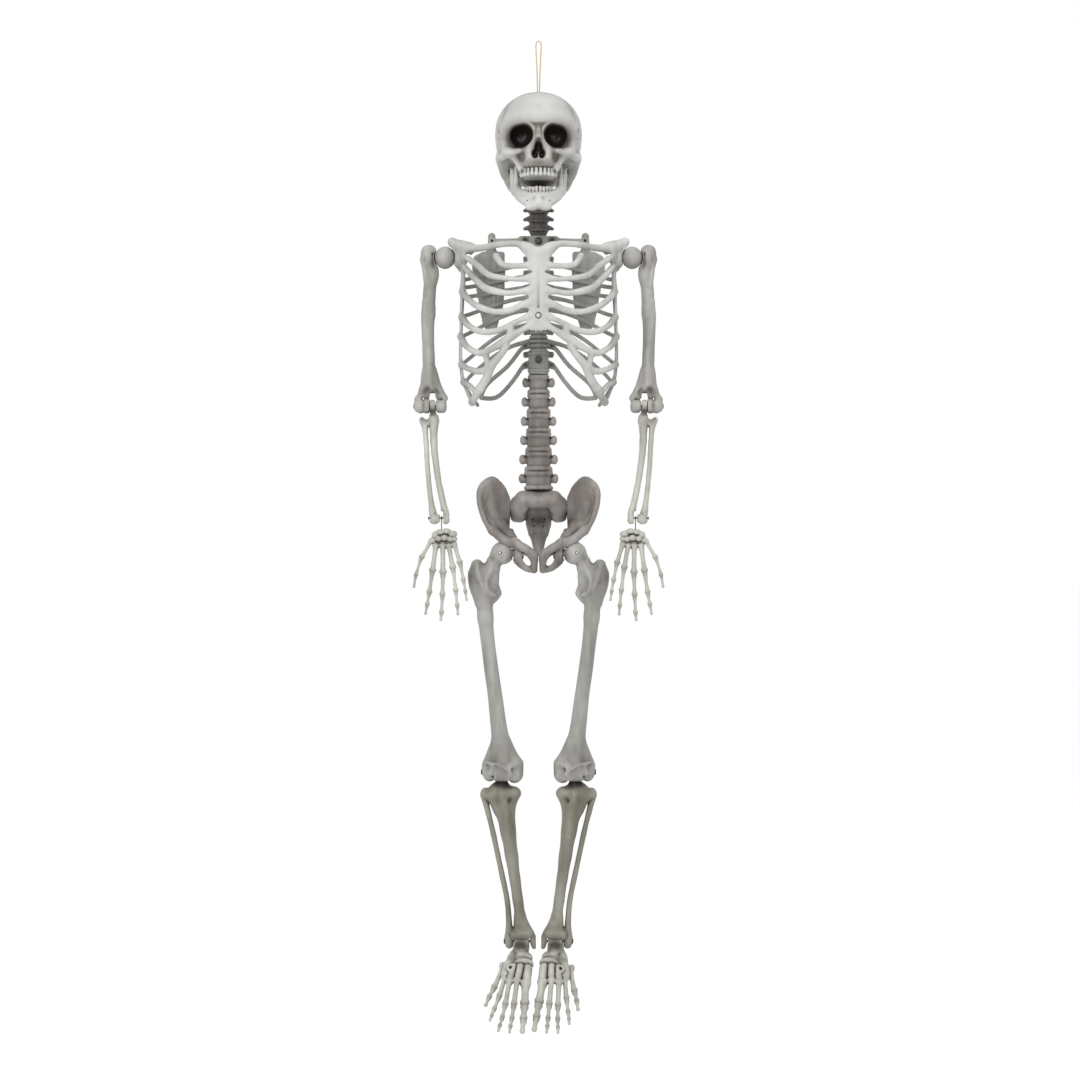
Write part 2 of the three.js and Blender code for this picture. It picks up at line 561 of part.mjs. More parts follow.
// ---------- Legs ----------
const HIP_PIN_X = HIP.x + 4;
const HIP_STEM_R = 6;
function hipLink(s) {
  const { y, z } = HIP;
  return cut(
    join(
      rod(s([27, y, z]), s([44, y, z]), HIP_STEM_R, HIP_STEM_R, 10),
      spanX(s, [42, y - 4, z - 6], [HIP_PIN_X, y + 4, z + 6]),
      rod(s([HIP_PIN_X, y - 4, z]), s([HIP_PIN_X, y + 4, z]), 8.5, 8.5, 12),
    ),
    rod(s([HIP_PIN_X, y - 9, z]), s([HIP_PIN_X, y + 9, z]), PIN_HOLE_R),
    rod(s([20, y, z]), s([39, y, z]), SCREW_HOLE_R),
  );
}
const hipScrew = (s) => headed(s([38, HIP.y, HIP.z]), s([26.4, HIP.y, HIP.z]), SCREW_R, 10, 3);
const hipPin = (s) => {
  const { y, z } = HIP;
  return rod(s([HIP_PIN_X, y - 16.5, z]), s([HIP_PIN_X, y + 16.5, z]), PIN_R);
};

function femur(s) {
  const { x, y, z, r } = HIP;
  const shaft = [[0, 12.5], [0.3, 11], [0.6, 12], [0.85, 14], [1, 17]];
  const slot = join(
    rod(s([HIP_PIN_X, y - 4.6, z]), s([HIP_PIN_X, y + 4.6, z]), 9.4, 9.4, 12),
    spanX(s, [x - 24, y - 4.6, z - 7], [HIP_PIN_X, y + 4.6, z + 20]),
    [0, 7.5, 15, 22.5, 30].map((spread) => {
      // room for the link's stem as the leg spreads
      const turn = THREE.MathUtils.degToRad(spread);
      const along = (d) => s([HIP_PIN_X - d * Math.cos(turn), y, z + d * Math.sin(turn)]);
      return rod(along(15), along(40), HIP_STEM_R + 1.4, HIP_STEM_R + 1.4, 8);
    }),
  );
  return cut(
    join(
      ball(s([x, y, z]), r, r, r, 10, 8),
      rod(s([x + 4, y, z - 2]), s([88, 2, -856]), 14, 17, 8),
      ball(s([95, 3, -862]), 17, 14, 26, 8, 6),
      rod(s([92, 2, -880]), s([85, 0, -960]), 16, 11, 8),
      turned(s([86, 0, -930]), s([64, 2, -1150]), shaft, 8),
      ball(s([68, 4, -888]), 13, 10, 15),
      rod(s([68, 2, -1112]), s([81, KNEE.y, -1170]), 11, 12, 8),
      rod(s([62, 2, -1112]), s([39, KNEE.y, -1170]), 11, 12, 8),
      rod(s([29, KNEE.y, KNEE.z]), s([90, KNEE.y, KNEE.z]), KNEE.r, KNEE.r, 12),
    ),
    slot,
    rod(s([HIP_PIN_X, y - 30, z]), s([HIP_PIN_X, y + 30, z]), PIN_HOLE_R),
    rod(s([47, KNEE.y, KNEE.z]), s([69.6, KNEE.y, KNEE.z]), KNEE.r + 1.5, KNEE.r + 1.5, 12),
    spanX(s, [47, -30, KNEE.z], [69.6, 40, -1200]),
    spanX(s, [47, KNEE.y, KNEE.z + 14], [69.6, 40, -1200]),
    rod(s([20, KNEE.y, KNEE.z]), s([100, KNEE.y, KNEE.z]), PIN_HOLE_R),
  );
}
const kneeScrew = (s) => headed(s([30, KNEE.y, KNEE.z]), s([90.6, KNEE.y, KNEE.z]), PIN_R, 4.8);

const FIBULA = [
  [84, 6, -1214], [80, 8, -1240], [69, 10, -1290], [56, 11, -1350], [47, 10, -1405],
  [45, 9, -1448],
];
const TIBIA_SHAFT = [[0, 19], [0.12, 14.5], [0.35, 10], [0.7, 8.5], [0.9, 10], [1, 15]];

function shin(s) {
  const { x, y, z } = KNEE;
  const ankle = ANKLE;
  return cut(
    join(
      rod(s([x - 10.2, y, z]), s([x + 10.8, y, z]), 11.5, 11.5, 12),
      spanX(s, [x - 10.2, y - 8, z], [x + 10.8, y + 9, -1212]),
      ball(s([64, 4, -1216]), 31, 20, 14, 12, 6).intersect(span([-110, -40, -1203], [110, 40, -1232])),
      turned(s([60, 3, -1210]), s([29, 6, -1432]), TIBIA_SHAFT, 10),
      bent(FIBULA.map(s), 4.6, 4.6, 8, 6),
      spanX(s, [8, -8, -1424], [46, 22, -1436]),
      bent([s([21, 6, -1418]), s([15, 6, -1436]), s([11.5, 7, -1456])], 6, 8, 4, 6),
      rod(s([45, 8, -1424]), s([46.5, 8, -1458]), 7, 5.5),
      bent([s([84, 6, -1218]), s([72, 5, -1214]), s([60, 4, -1214])], 6, 6, 3, 6),
    ),
    rod(s([20, y, z]), s([100, y, z]), PIN_HOLE_R),
    rod(s([ankle.x - 13.6, ankle.y, ankle.z]), s([ankle.x + 11.6, ankle.y, ankle.z]), 14.4, 14.4, 12),
    rod(s([-5, ankle.y, ankle.z]), s([60, ankle.y, ankle.z]), PIN_HOLE_R),
  );
}
const ankleScrew = (s) => headed(s([7, ANKLE.y, ANKLE.z]), s([54.4, ANKLE.y, ANKLE.z]), PIN_R, 4.4, 2);

// The foot is laid out standing, with the ankle axis at its origin and the toes along -Y.
const TOES = [
  [[-14, -50, -22], [-17, -104, -39], [-19, -156, -46]],
  [[0, -54, -18], [0, -106, -39], [1, -159, -46]],
  [[12, -52, -20], [14, -106, -40], [19, -157, -46]],
  [[20, -44, -26], [26, -88, -41], [35, -136, -46]],
  [[24, -26, -32], [37, -68, -43], [46, -104, -46]],
];
const MIDFOOT = [3, -34, -24];

function foot(s) {
  const bone = (a, b, ra, rb) => rod(s(a), s(b), ra, rb, 6);
  const forefoot = join(
    ball(s(MIDFOOT), 24, 26, 13, 10, 6),
    TOES.map(([root, knuckle, tip], i) => {
      const big = i ? 1 : 1.5;
      return [bone(root, knuckle, 5.6 * big, 4 * big), bone(knuckle, tip, 4.5 * big, 2.8 * big)];
    }),
  ).rotate([0, 0, FOOT_TURN]);
  const standing = cut(
    join(
      forefoot,
      rod(s([-12.8, 0, 0]), s([10.8, 0, 0]), 12, 12, 12),
      rod(s([-1, 0, -2]), s([0, -18, -20]), 12, 14, 8),
      rod(s([0, -4, -20]), s([3, 36, -34]), 12, 12, 8),
      ball(s([3, 36, -34]), 13, 12, 15, 8, 6),
    ),
    rod([-20, 0, 0], [20, 0, 0], PIN_HOLE_R),
  );
  const pitched = standing.rotate([FOOT_POINT, 0, 0]);
  return pitched.translate(s([ANKLE.x, ANKLE.y, ANKLE.z]));
}

// ---------- Assembly ----------
const figure = new THREE.Group();
figure.name = "halloween_skeleton_figure";
const put = (name, shape, material) => figure.add(mesh(name, shape, material));

const shells = skullShells();
put("skull_face_shell", shells.face, PALE_BONE);
put("skull_rear_shell", shells.rear, PALE_BONE);
put("mandible", mandible(), PALE_BONE);
put("hanging_loop", hangingLoop(), TWINE);
put("loop_knot", loopKnot(), TWINE);
put("neck_swivel", neckSwivel(), SPINE_BONE);
put("neck_retaining_screw", neckRetainer(), STEEL);
put("neck_pin", neckPin(), STEEL);
put("cervical_spine", cervicalSpine(), SPINE_BONE);
put("neck_screw", spineScrew(NECK_SCREW_Z, SPINE_Y - 19.4), STEEL);
put("rib_cage_front", ribCageFront(), PALE_BONE);
put("rib_cage_rear", ribCageRear(), SPINE_BONE);
put("chest_screw", chestScrew(), STEEL);
put("waist_screw", spineScrew(WAIST_SCREW_Z, SPINE_Y - 17.9), STEEL);
put("lumbar_spine", lumbarSpine(), SPINE_BONE);
put("sacrum", sacrum(), SPINE_BONE);

for (const [name, side] of Object.entries(SIDES)) {
  const s = sided(side);
  put(`jaw_screw_${name}`, jawScrew(s), STEEL);
  put(`scapula_${name}`, scapula(s), SPINE_BONE);
  put(`scapula_screw_${name}`, scapulaScrew(s), STEEL);
  put(`hip_bone_${name}`, hipBone(s, side), SPINE_BONE);
  put(`sacral_screw_${name}`, sacralScrew(s), STEEL);

  put(`shoulder_ball_${name}`, shoulderBall(s), GREY_BONE);
  put(`shoulder_screw_${name}`, shoulderScrew(s), STEEL);
  put(`shoulder_pin_${name}`, shoulderPin(s), STEEL);
  put(`humerus_${name}`, humerus(s), GREY_BONE);
  put(`elbow_screw_${name}`, elbowScrew(s), STEEL);
  put(`forearm_${name}`, forearm(s), SMALL_BONE);
  put(`wrist_pin_${name}`, wristPin(s), STEEL);
  put(`wrist_eye_${name}`, wristEye(s), STEEL);
  put(`hand_${name}`, hand(s), SMALL_BONE);

  put(`hip_link_${name}`, hipLink(s), GREY_BONE);
  put(`hip_screw_${name}`, hipScrew(s), STEEL);
  put(`hip_pin_${name}`, hipPin(s), STEEL);
  put(`femur_${name}`, femur(s), GREY_BONE);
  put(`knee_screw_${name}`, kneeScrew(s), STEEL);
  put(`shin_${name}`, shin(s), OLIVE_BONE);
  put(`ankle_screw_${name}`, ankleScrew(s), STEEL);
  put(`foot_${name}`, foot(s), SMALL_BONE);
}

export default figure;
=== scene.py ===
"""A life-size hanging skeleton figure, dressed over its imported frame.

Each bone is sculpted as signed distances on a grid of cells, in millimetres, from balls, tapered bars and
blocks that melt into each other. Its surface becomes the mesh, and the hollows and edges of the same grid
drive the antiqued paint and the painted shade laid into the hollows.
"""

import json
import math

import bmesh
import bpy
import numpy as np
import openvdb as vdb
from mathutils import Matrix, Vector

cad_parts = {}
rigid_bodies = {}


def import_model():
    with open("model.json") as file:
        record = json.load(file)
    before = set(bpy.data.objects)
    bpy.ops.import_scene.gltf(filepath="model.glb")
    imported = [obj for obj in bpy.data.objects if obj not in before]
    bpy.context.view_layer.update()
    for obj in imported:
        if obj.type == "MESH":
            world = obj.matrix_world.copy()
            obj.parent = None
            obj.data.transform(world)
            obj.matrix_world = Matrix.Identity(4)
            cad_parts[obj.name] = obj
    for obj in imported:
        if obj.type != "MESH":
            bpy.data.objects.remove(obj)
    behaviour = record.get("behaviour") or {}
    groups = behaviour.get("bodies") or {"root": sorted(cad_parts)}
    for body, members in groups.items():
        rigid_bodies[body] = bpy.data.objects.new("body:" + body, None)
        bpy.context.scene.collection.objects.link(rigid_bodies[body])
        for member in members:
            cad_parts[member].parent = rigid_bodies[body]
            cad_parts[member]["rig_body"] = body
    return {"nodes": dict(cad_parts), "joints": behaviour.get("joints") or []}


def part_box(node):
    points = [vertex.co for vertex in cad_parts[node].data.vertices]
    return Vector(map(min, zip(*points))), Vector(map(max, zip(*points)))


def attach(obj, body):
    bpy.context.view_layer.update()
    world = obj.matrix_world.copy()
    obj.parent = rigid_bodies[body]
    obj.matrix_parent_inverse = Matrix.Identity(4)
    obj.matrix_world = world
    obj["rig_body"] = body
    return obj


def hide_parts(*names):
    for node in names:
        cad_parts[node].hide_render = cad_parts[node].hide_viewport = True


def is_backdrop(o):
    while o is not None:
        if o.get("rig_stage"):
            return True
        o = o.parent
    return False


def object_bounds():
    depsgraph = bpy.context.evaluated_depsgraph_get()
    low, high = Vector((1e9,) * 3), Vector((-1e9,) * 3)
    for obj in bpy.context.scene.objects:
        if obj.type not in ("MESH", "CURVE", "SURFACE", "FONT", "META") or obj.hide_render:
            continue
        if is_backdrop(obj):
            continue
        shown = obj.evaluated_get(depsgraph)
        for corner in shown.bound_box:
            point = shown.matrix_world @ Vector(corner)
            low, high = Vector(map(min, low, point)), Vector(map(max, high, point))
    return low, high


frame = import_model()
CAD_LOW, CAD_HIGH = (list(p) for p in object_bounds())
MM = 0.001
FAR = 9.0  # mm, the distance held by cells that nothing is near
NOWHERE = 40.0  # mm, too far away to blend with anything
SIDES = {"left": 1, "right": -1}


def pivot(joint):
    """A joint's position in millimetres."""
    found = next(j for j in frame["joints"] if j["name"] == joint)
    return np.array(found["pos_m"], float) / MM


def box_mm(node):
    return [np.array(p, float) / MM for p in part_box(node)]


# ---------- Camera ----------
DISTANCE, SENSOR = 3.6, 36.0
HEIGHT = 1.741  # metres of the subject's plane that the square picture takes in


def make_camera():
    """The front view, level with the figure's middle."""
    data = bpy.data.cameras.new("camera")
    data.sensor_width = SENSOR
    data.lens = SENSOR * DISTANCE / HEIGHT
    data.clip_end = 60
    camera = bpy.data.objects.new("camera", data)
    camera.location = (0.0024, -DISTANCE, -0.803)
    camera.rotation_euler = (math.pi / 2, 0, 0)
    bpy.context.scene.collection.objects.link(camera)
    bpy.context.scene.camera = camera


# ---------- Materials ----------
def linear(rgb):
    """An sRGB colour, 0 to 255, as the linear one that a shader takes."""
    return tuple(
        [((c / 255 + 0.055) / 1.055) ** 2.4 if c > 10 else c / 255 / 12.92 for c in rgb]
    ) + (1.0,)


class Paint:
    """Small helpers that wire up one material's nodes."""

    def __init__(self, name):
        self.material = bpy.data.materials.new(name)
        self.material.use_nodes = True
        self.tree = self.material.node_tree
        self.shader = next(n for n in self.tree.nodes if n.type == "BSDF_PRINCIPLED")
        self.place = self.add("ShaderNodeTexCoord").outputs["Object"]

    def add(self, kind, **settings):
        node = self.tree.nodes.new(kind)
        for key, value in settings.items():
            setattr(node, key, value)
        return node

    def link(self, source, target):
        self.tree.links.new(source, target)

    def noise(self, scale, stretch=(1, 1, 1), detail=4.0, rough=0.55):
        mapping = self.add("ShaderNodeMapping")
        mapping.inputs["Scale"].default_value = stretch
        self.link(self.place, mapping.inputs["Vector"])
        noise = self.add("ShaderNodeTexNoise")
        noise.inputs["Scale"].default_value = scale
        noise.inputs["Detail"].default_value = detail
        noise.inputs["Roughness"].default_value = rough
        self.link(mapping.outputs["Vector"], noise.inputs["Vector"])
        return noise.outputs["Fac"]

    def ramp(self, value, low, high, to_low=0.0, to_high=1.0):
        node = self.add("ShaderNodeMapRange", clamp=True)
        node.inputs["From Min"].default_value = low
        node.inputs["From Max"].default_value = high
        node.inputs["To Min"].default_value = to_low
        node.inputs["To Max"].default_value = to_high
        self.link(value, node.inputs["Value"])
        return node.outputs["Result"]

    def maths(self, operation, a, b):
        node = self.add("ShaderNodeMath", operation=operation, use_clamp=True)
        for socket, value in zip(node.inputs, (a, b)):
            if isinstance(value, (int, float)):
                socket.default_value = value
            else:
                self.link(value, socket)
        return node.outputs["Value"]

    def mix(self, factor, a, b):
        node = self.add("ShaderNodeMix", data_type="RGBA")
        self.link(factor, node.inputs["Factor"])
        for socket, value in ((node.inputs["A"], a), (node.inputs["B"], b)):
            if isinstance(value, tuple):
                socket.default_value = value
            else:
                self.link(value, socket)
        return node.outputs["Result"]

    def bump(self, height, depth, strength=1.0, under=None):
        node = self.add("ShaderNodeBump")
        node.inputs["Strength"].default_value = strength
        node.inputs["Distance"].default_value = depth
        self.link(height, node.inputs["Height"])
        if under is not None:
            self.link(under, node.inputs["Normal"])
        return node.outputs["Normal"]


OWN_SHARE = 0.62  # the studio's light adds the rest of what a pale surface shows


def plastic_colour(rgb):
    """The plastic's own share of a colour seen in the studio."""
    return tuple(c * OWN_SHARE for c in linear(rgb)[:3]) + (1.0,)


def aged_plastic(name, base, light, dark, grime_and_shade=0.5, streaks=0.4, pale_middle=0):
    """Moulded plastic bone: a dry-brushed body colour, with the dark in the hollows partly antiquing
    paint and partly painted shade.
    """
    base, light, dark = plastic_colour(base), plastic_colour(light), plastic_colour(dark)
    p = Paint(name)
    wear_and_shade = p.add("ShaderNodeAttribute", attribute_name="wear_and_shade")
    parts = p.add("ShaderNodeSeparateColor")
    p.link(wear_and_shade.outputs["Color"], parts.inputs["Color"])
    hollow, stain_and_shade, edge = parts.outputs[0], parts.outputs[1], parts.outputs[2]
    broad = wear_and_shade.outputs["Alpha"]
    cloud = p.noise(22, (1, 1, 0.5), 5)
    speck = p.noise(260, (1, 1, 0.6), 3, 0.6)
    streak = p.noise(110, (1, 1, 0.12), 4)
    colour = p.mix(p.ramp(cloud, 0.36, 0.62), base, light)
    # Painted highlight: the colour turns lighter towards the middle, where the breastbone faces the
    # light.
    if pale_middle:
        spot = p.add("ShaderNodeSeparateXYZ")
        p.link(p.place, spot.inputs["Vector"])
        beside = p.maths("MULTIPLY", spot.outputs["X"], spot.outputs["X"])
        middle = p.ramp(beside, (pale_middle * 0.7) ** 2, (pale_middle * 1.9) ** 2, 0.9, 0.0)
        colour = p.mix(middle, colour, light)
    worn = p.maths("MULTIPLY", p.ramp(edge, 0.3, 0.95), p.ramp(speck, 0.3, 0.6, 0.3, 0.75))
    colour = p.mix(worn, colour, light)
    colour = p.mix(p.maths("MULTIPLY", p.ramp(streak, 0.45, 0.72), grime_and_shade * streaks), colour, dark)
    # Painted shade pooled in the broad hollows, patchy with the cloud.
    broad_shade = p.maths("MULTIPLY", p.ramp(broad, 0.05, 0.7), p.ramp(cloud, 0.3, 0.6, 0.6, 1.0))
    colour = p.mix(p.maths("MULTIPLY", broad_shade, min(1.0, grime_and_shade + 0.15)), colour, dark)
    # Fine hollows turn towards the deep colour, partly as antiquing paint and partly as painted shade.
    deep = tuple(c * 0.45 for c in dark[:3]) + (1.0,)
    colour = p.mix(p.maths("MULTIPLY", p.ramp(hollow, 0.04, 0.5), min(1.0, grime_and_shade + 0.45)), colour, deep)
    # Stains turn towards the dark colour, then near-black where strongest: dark paint, and painted shade
    # in deep recesses such as the eye sockets.
    colour = p.mix(p.ramp(stain_and_shade, 0.0, 0.6, 0.0, 0.9), colour, dark)
    colour = p.mix(p.ramp(stain_and_shade, 0.45, 1.0), colour, linear((20, 16, 13)))
    p.link(colour, p.shader.inputs["Base Color"])
    p.link(p.ramp(speck, 0.2, 0.8, 0.44, 0.64), p.shader.inputs["Roughness"])
    p.shader.inputs["Specular IOR Level"].default_value = 0.4
    coarse = p.bump(p.noise(60, detail=3), 0.0012, 0.5)
    p.link(p.bump(speck, 0.00035, 0.5, coarse), p.shader.inputs["Normal"])
    return p.material


def steel(name, base, dark):
    """Screw metal, clouded with fine darker spots."""
    p = Paint(name)
    spots = p.noise(700, detail=4)
    colour = p.mix(p.ramp(spots, 0.45, 0.7), linear(base), linear(dark))
    p.link(colour, p.shader.inputs["Base Color"])
    p.shader.inputs["Metallic"].default_value = 0.6
    p.link(p.ramp(spots, 0.3, 0.7, 0.28, 0.5), p.shader.inputs["Roughness"])
    p.link(p.bump(spots, 0.0001, 0.3), p.shader.inputs["Normal"])
    return p.material


def twine(name):
    """Pale string with the slanting ridges of its lay."""
    p = Paint(name)
    mapping = p.add("ShaderNodeMapping")
    mapping.inputs["Rotation"].default_value = (0, math.radians(38), 0)
    p.link(p.place, mapping.inputs["Vector"])
    lay = p.add("ShaderNodeTexWave", wave_type="BANDS", bands_direction="Z")
    lay.inputs["Scale"].default_value = 190
    lay.inputs["Distortion"].default_value = 1.2
    p.link(mapping.outputs["Vector"], lay.inputs["Vector"])
    fibre = p.noise(900, (1, 1, 0.4), 3)
    # Painted shade: the lay's grooves are painted darker and its ridges lighter, on the same bands as its
    # bumps.
    colour = p.mix(p.ramp(lay.outputs["Fac"], 0.1, 0.7), linear((128, 110, 74)), linear((206, 190, 152)))
    colour = p.mix(p.ramp(fibre, 0.5, 0.75, 0, 0.5), colour, linear((176, 154, 112)))
    p.link(colour, p.shader.inputs["Base Color"])
    p.shader.inputs["Roughness"].default_value = 0.9
    ridges = p.bump(lay.outputs["Fac"], 0.0004, 0.8)
    p.link(p.bump(fibre, 0.0001, 0.5, ridges), p.shader.inputs["Normal"])
    return p.material


# ---------- Clay ----------
def smooth_min(a, b, k):
    """The smaller of two distances, melted together where they are within k of each other."""
    if k <= 0:
        return np.minimum(a, b)
    h = np.maximum(k - np.abs(a - b), 0) / k
    return np.minimum(a, b) - h * h * k * 0.25


def curve_points(points, radii, step=5.0):
    """Points and radii along the smooth curve through the given ones."""
    points = np.array(points, float)
    radii = np.full(len(points), radii, float) if np.isscalar(radii) else np.array(radii, float)
    if len(points) == 2:
        return points, radii
    padded = np.vstack([2 * points[0] - points[1], points, 2 * points[-1] - points[-2]])
    out, out_r = [points[0]], [radii[0]]
    for i in range(len(points) - 1):
        p0, p1, p2, p3 = padded[i : i + 4]
        n = max(2, int(np.linalg.norm(p2 - p1) / step))
        for t in np.arange(1, n + 1) / n:
            tangents = (-p0 + p2) * t + (2 * p0 - 5 * p1 + 4 * p2 - p3) * t * t
            out.append(0.5 * (2 * p1 + tangents + (-p0 + 3 * p1 - 3 * p2 + p3) * t**3))
            ease = t * t * (3 - 2 * t)
            out_r.append(radii[i] + (radii[i + 1] - radii[i]) * ease)
    return np.array(out), np.array(out_r)


def turned(p, turn):
    """Grid places in a shape's own axes; `turn` is None or its axis and degrees."""
    if not turn:
        return p
    axis, degrees = turn
    m = np.array(Matrix.Rotation(-math.radians(degrees), 3, axis), float)
    return [m[i, 0] * p[0] + m[i, 1] * p[1] + m[i, 2] * p[2] for i in range(3)]


CELL_SCALE = 1.15  # every grid is this much coarser than the size its piece asks for
SPARE = 2.5  # mm of grid worked on around a shape, besides its blend
BORE, PIN_BORE = 2.3, 3.0  # radii of the holes for screws and for the joints' pins


class Clay:
    """Signed distances on a grid. `mirror` sculpts x >= 0 only, and the other half follows."""

    def __init__(self, low, high, cell=1.1, mirror=False):
        self.cell = cell * CELL_SCALE
        self.mirror = mirror
        self.low = np.array(low, float)
        if mirror:
            self.low[0] = 0.0
        self.size = np.ceil((np.array(high) - self.low) / self.cell).astype(int) + 1
        self.d = np.full(self.size, FAR, np.float32)
        self.stain_and_shade_spots = []

    def window(self, low, high):
        """The slices of the grid inside a box, and their places along each axis."""
        first = np.clip(((np.array(low) - self.low) / self.cell).astype(int), 0, self.size)
        last = np.clip(((np.array(high) - self.low) / self.cell).astype(int) + 2, 0, self.size)
        if np.any(last <= first):
            return None, None
        axes = [
            (self.low[k] + self.cell * np.arange(first[k], last[k])).astype(np.float32)
            for k in range(3)
        ]
        places = (axes[0][:, None, None], axes[1][None, :, None], axes[2][None, None, :])
        return tuple(slice(a, b) for a, b in zip(first, last)), places

    def apply(self, where, distance, k, dig):
        """Adds a shape to the clay, or digs it out."""
        old = self.d[where]
        self.d[where] = -smooth_min(-old, distance, k) if dig else smooth_min(old, distance, k)

    def ball(self, at, r, k=2.0, dig=False, turn=None):
        """An ellipsoid of radii r about the point `at`."""
        at, r = np.array(at, float), np.full(3, r, float) if np.isscalar(r) else np.array(r, float)
        reach = (r.max() if turn else r) + k + SPARE
        where, places = self.window(at - reach, at + reach)
        if where is None:
            return self
        p = turned([places[i] - at[i] for i in range(3)], turn)
        q = [p[i] / r[i] for i in range(3)]
        k0 = np.sqrt(q[0] ** 2 + q[1] ** 2 + q[2] ** 2)
        k1 = np.sqrt((q[0] / r[0]) ** 2 + (q[1] / r[1]) ** 2 + (q[2] / r[2]) ** 2) + 1e-6
        self.apply(where, (k0 * (k0 - 1) / k1).astype(np.float32), k, dig)
        return self

    def bone(self, points, radii, k=2.0, dig=False, flat=(1, 1, 1), step=5.0):
        """A round bar along the smooth curve through the points; `flat` scales its section per axis."""
        scale = np.array(flat, float)
        line, r = curve_points(points, radii, step)
        around = r.max() * scale + k + SPARE
        whole, _ = self.window((line - around).min(0), (line + around).max(0))
        if whole is None:
            return self
        bar = np.full(self.d[whole].shape, NOWHERE, np.float32)
        for a, b, ra, rb in zip(line[:-1], line[1:], r[:-1], r[1:]):
            reach = max(ra, rb) * scale + k + SPARE
            where, places = self.window(np.minimum(a, b) - reach, np.maximum(a, b) + reach)
            if where is None:
                continue
            way = (b - a) / scale
            p = [(places[i] - a[i]) / scale[i] for i in range(3)]
            along = sum(p[i] * way[i] for i in range(3)) / max(float(way @ way), 1e-9)
            t = np.clip(along, 0, 1)
            away = np.sqrt(sum((p[i] - way[i] * t) ** 2 for i in range(3)))
            distance = (away - (ra + (rb - ra) * t)) * float(scale.min())
            here = tuple(slice(s.start - w.start, s.stop - w.start) for s, w in zip(where, whole))
            bar[here] = np.minimum(bar[here], distance.astype(np.float32))
        self.apply(whole, bar, k, dig)
        return self

    def block(self, low, high, edge=1.5, k=1.5, dig=False, turn=None):
        """A box with rounded edges between two corners, turned about its own centre."""
        low, high = np.minimum(low, high).astype(float), np.maximum(low, high).astype(float)
        centre, half = (low + high) / 2, (high - low) / 2 - edge
        reach = (np.linalg.norm(half) if turn else half) + edge + k + SPARE
        where, places = self.window(centre - reach, centre + reach)
        if where is None:
            return self
        p = turned([places[i] - centre[i] for i in range(3)], turn)
        q = [np.abs(p[i]) - half[i] for i in range(3)]
        outside = np.sqrt(sum(np.maximum(v, 0) ** 2 for v in q))
        inside = np.minimum(np.maximum(np.maximum(q[0], q[1]), q[2]), 0)
        self.apply(where, (outside + inside - edge).astype(np.float32), k, dig)
        return self

    def rod(self, a, b, r, k=0.8, dig=False, edge=0.6):
        """A flat-ended round bar with slightly rounded rims."""
        a, b = np.array(a, float), np.array(b, float)
        reach = r + k + SPARE
        where, places = self.window(np.minimum(a, b) - reach, np.maximum(a, b) + reach)
        if where is None:
            return self
        length = np.linalg.norm(b - a)
        way = (b - a) / length
        p = [places[i] - a[i] for i in range(3)]
        along = sum(p[i] * way[i] for i in range(3))
        away = np.sqrt(np.maximum(sum(v**2 for v in p) - along**2, 0))
        u, v = away - r + edge, np.abs(along - length / 2) - length / 2 + edge
        outside = np.sqrt(np.maximum(u, 0) ** 2 + np.maximum(v, 0) ** 2)
        distance = outside + np.minimum(np.maximum(u, v), 0) - edge
        self.apply(where, distance.astype(np.float32), k, dig)
        return self

    def keep(self, axis, value, above=True, k=0.0):
        """Keeps the clay on one side of a plane across an axis."""
        axes = self.low[axis] + self.cell * np.arange(self.size[axis])
        away = ((value - axes) if above else (axes - value)).astype(np.float32)
        shape = [1, 1, 1]
        shape[axis] = -1
        self.d = -smooth_min(-self.d, -away.reshape(shape), k)
        return self

    def dent(self, amount=0.35, scale=11.0, seed=0.0):
        """A little hand-made unevenness over the whole surface."""
        axes = [self.low[k] + self.cell * np.arange(self.size[k]) for k in range(3)]
        x, y, z = (a.astype(np.float32) / scale for a in axes)
        one = np.sin(x + seed)[:, None, None] * np.sin(1.3 * y + 2 + seed)[None, :, None]
        two = np.sin(1.1 * z + seed)[None, None, :] * np.cos(1.7 * x + 1)[:, None, None]
        three = np.cos(2.1 * y + seed)[None, :, None] * np.sin(2.3 * z + 1.5)[None, None, :]
        self.d += amount * (one + two + three) * 0.6
        return self

    def stain_and_shade(self, at, r, strength=1.0):
        """Dark paint and painted shade sprayed about a point."""
        r = np.full(3, r, float) if np.isscalar(r) else np.array(r, float)
        self.stain_and_shade_spots.append((np.array(at, float), r, strength))
        return self

    def copy(self):
        twin = object.__new__(Clay)
        twin.__dict__.update(self.__dict__)
        twin.d = self.d.copy()
        return twin


def box_blur(values, n):
    """The mean over n cells each way, axis by axis."""
    for axis in range(3):
        padded = np.concatenate(
            [np.repeat(np.take(values, [0], axis), n + 1, axis), values,
             np.repeat(np.take(values, [-1], axis), n, axis)], axis
        )
        total = np.cumsum(padded, axis, dtype=np.float32)
        low, high = [slice(None)] * 3, [slice(None)] * 3
        low[axis] = slice(0, values.shape[axis])
        high[axis] = slice(2 * n + 1, 2 * n + 1 + values.shape[axis])
        values = (total[tuple(high)] - total[tuple(low)]) / (2 * n + 1)
    return values


def sample(values, at):
    """Grid values blended between cells, at points counted in cells."""
    first = np.clip(np.floor(at).astype(int), 0, np.array(values.shape) - 2)
    t = np.clip(at - first, 0, 1)
    total = 0
    for corner in np.ndindex(2, 2, 2):
        weight = np.prod(np.where(corner, t, 1 - t), axis=1)
        i = first + corner
        total = total + weight * values[i[:, 0], i[:, 1], i[:, 2]]
    return total


FINE_REACH, BROAD_REACH = 1.9, 6.5  # mm over which fine and broad hollows are told apart


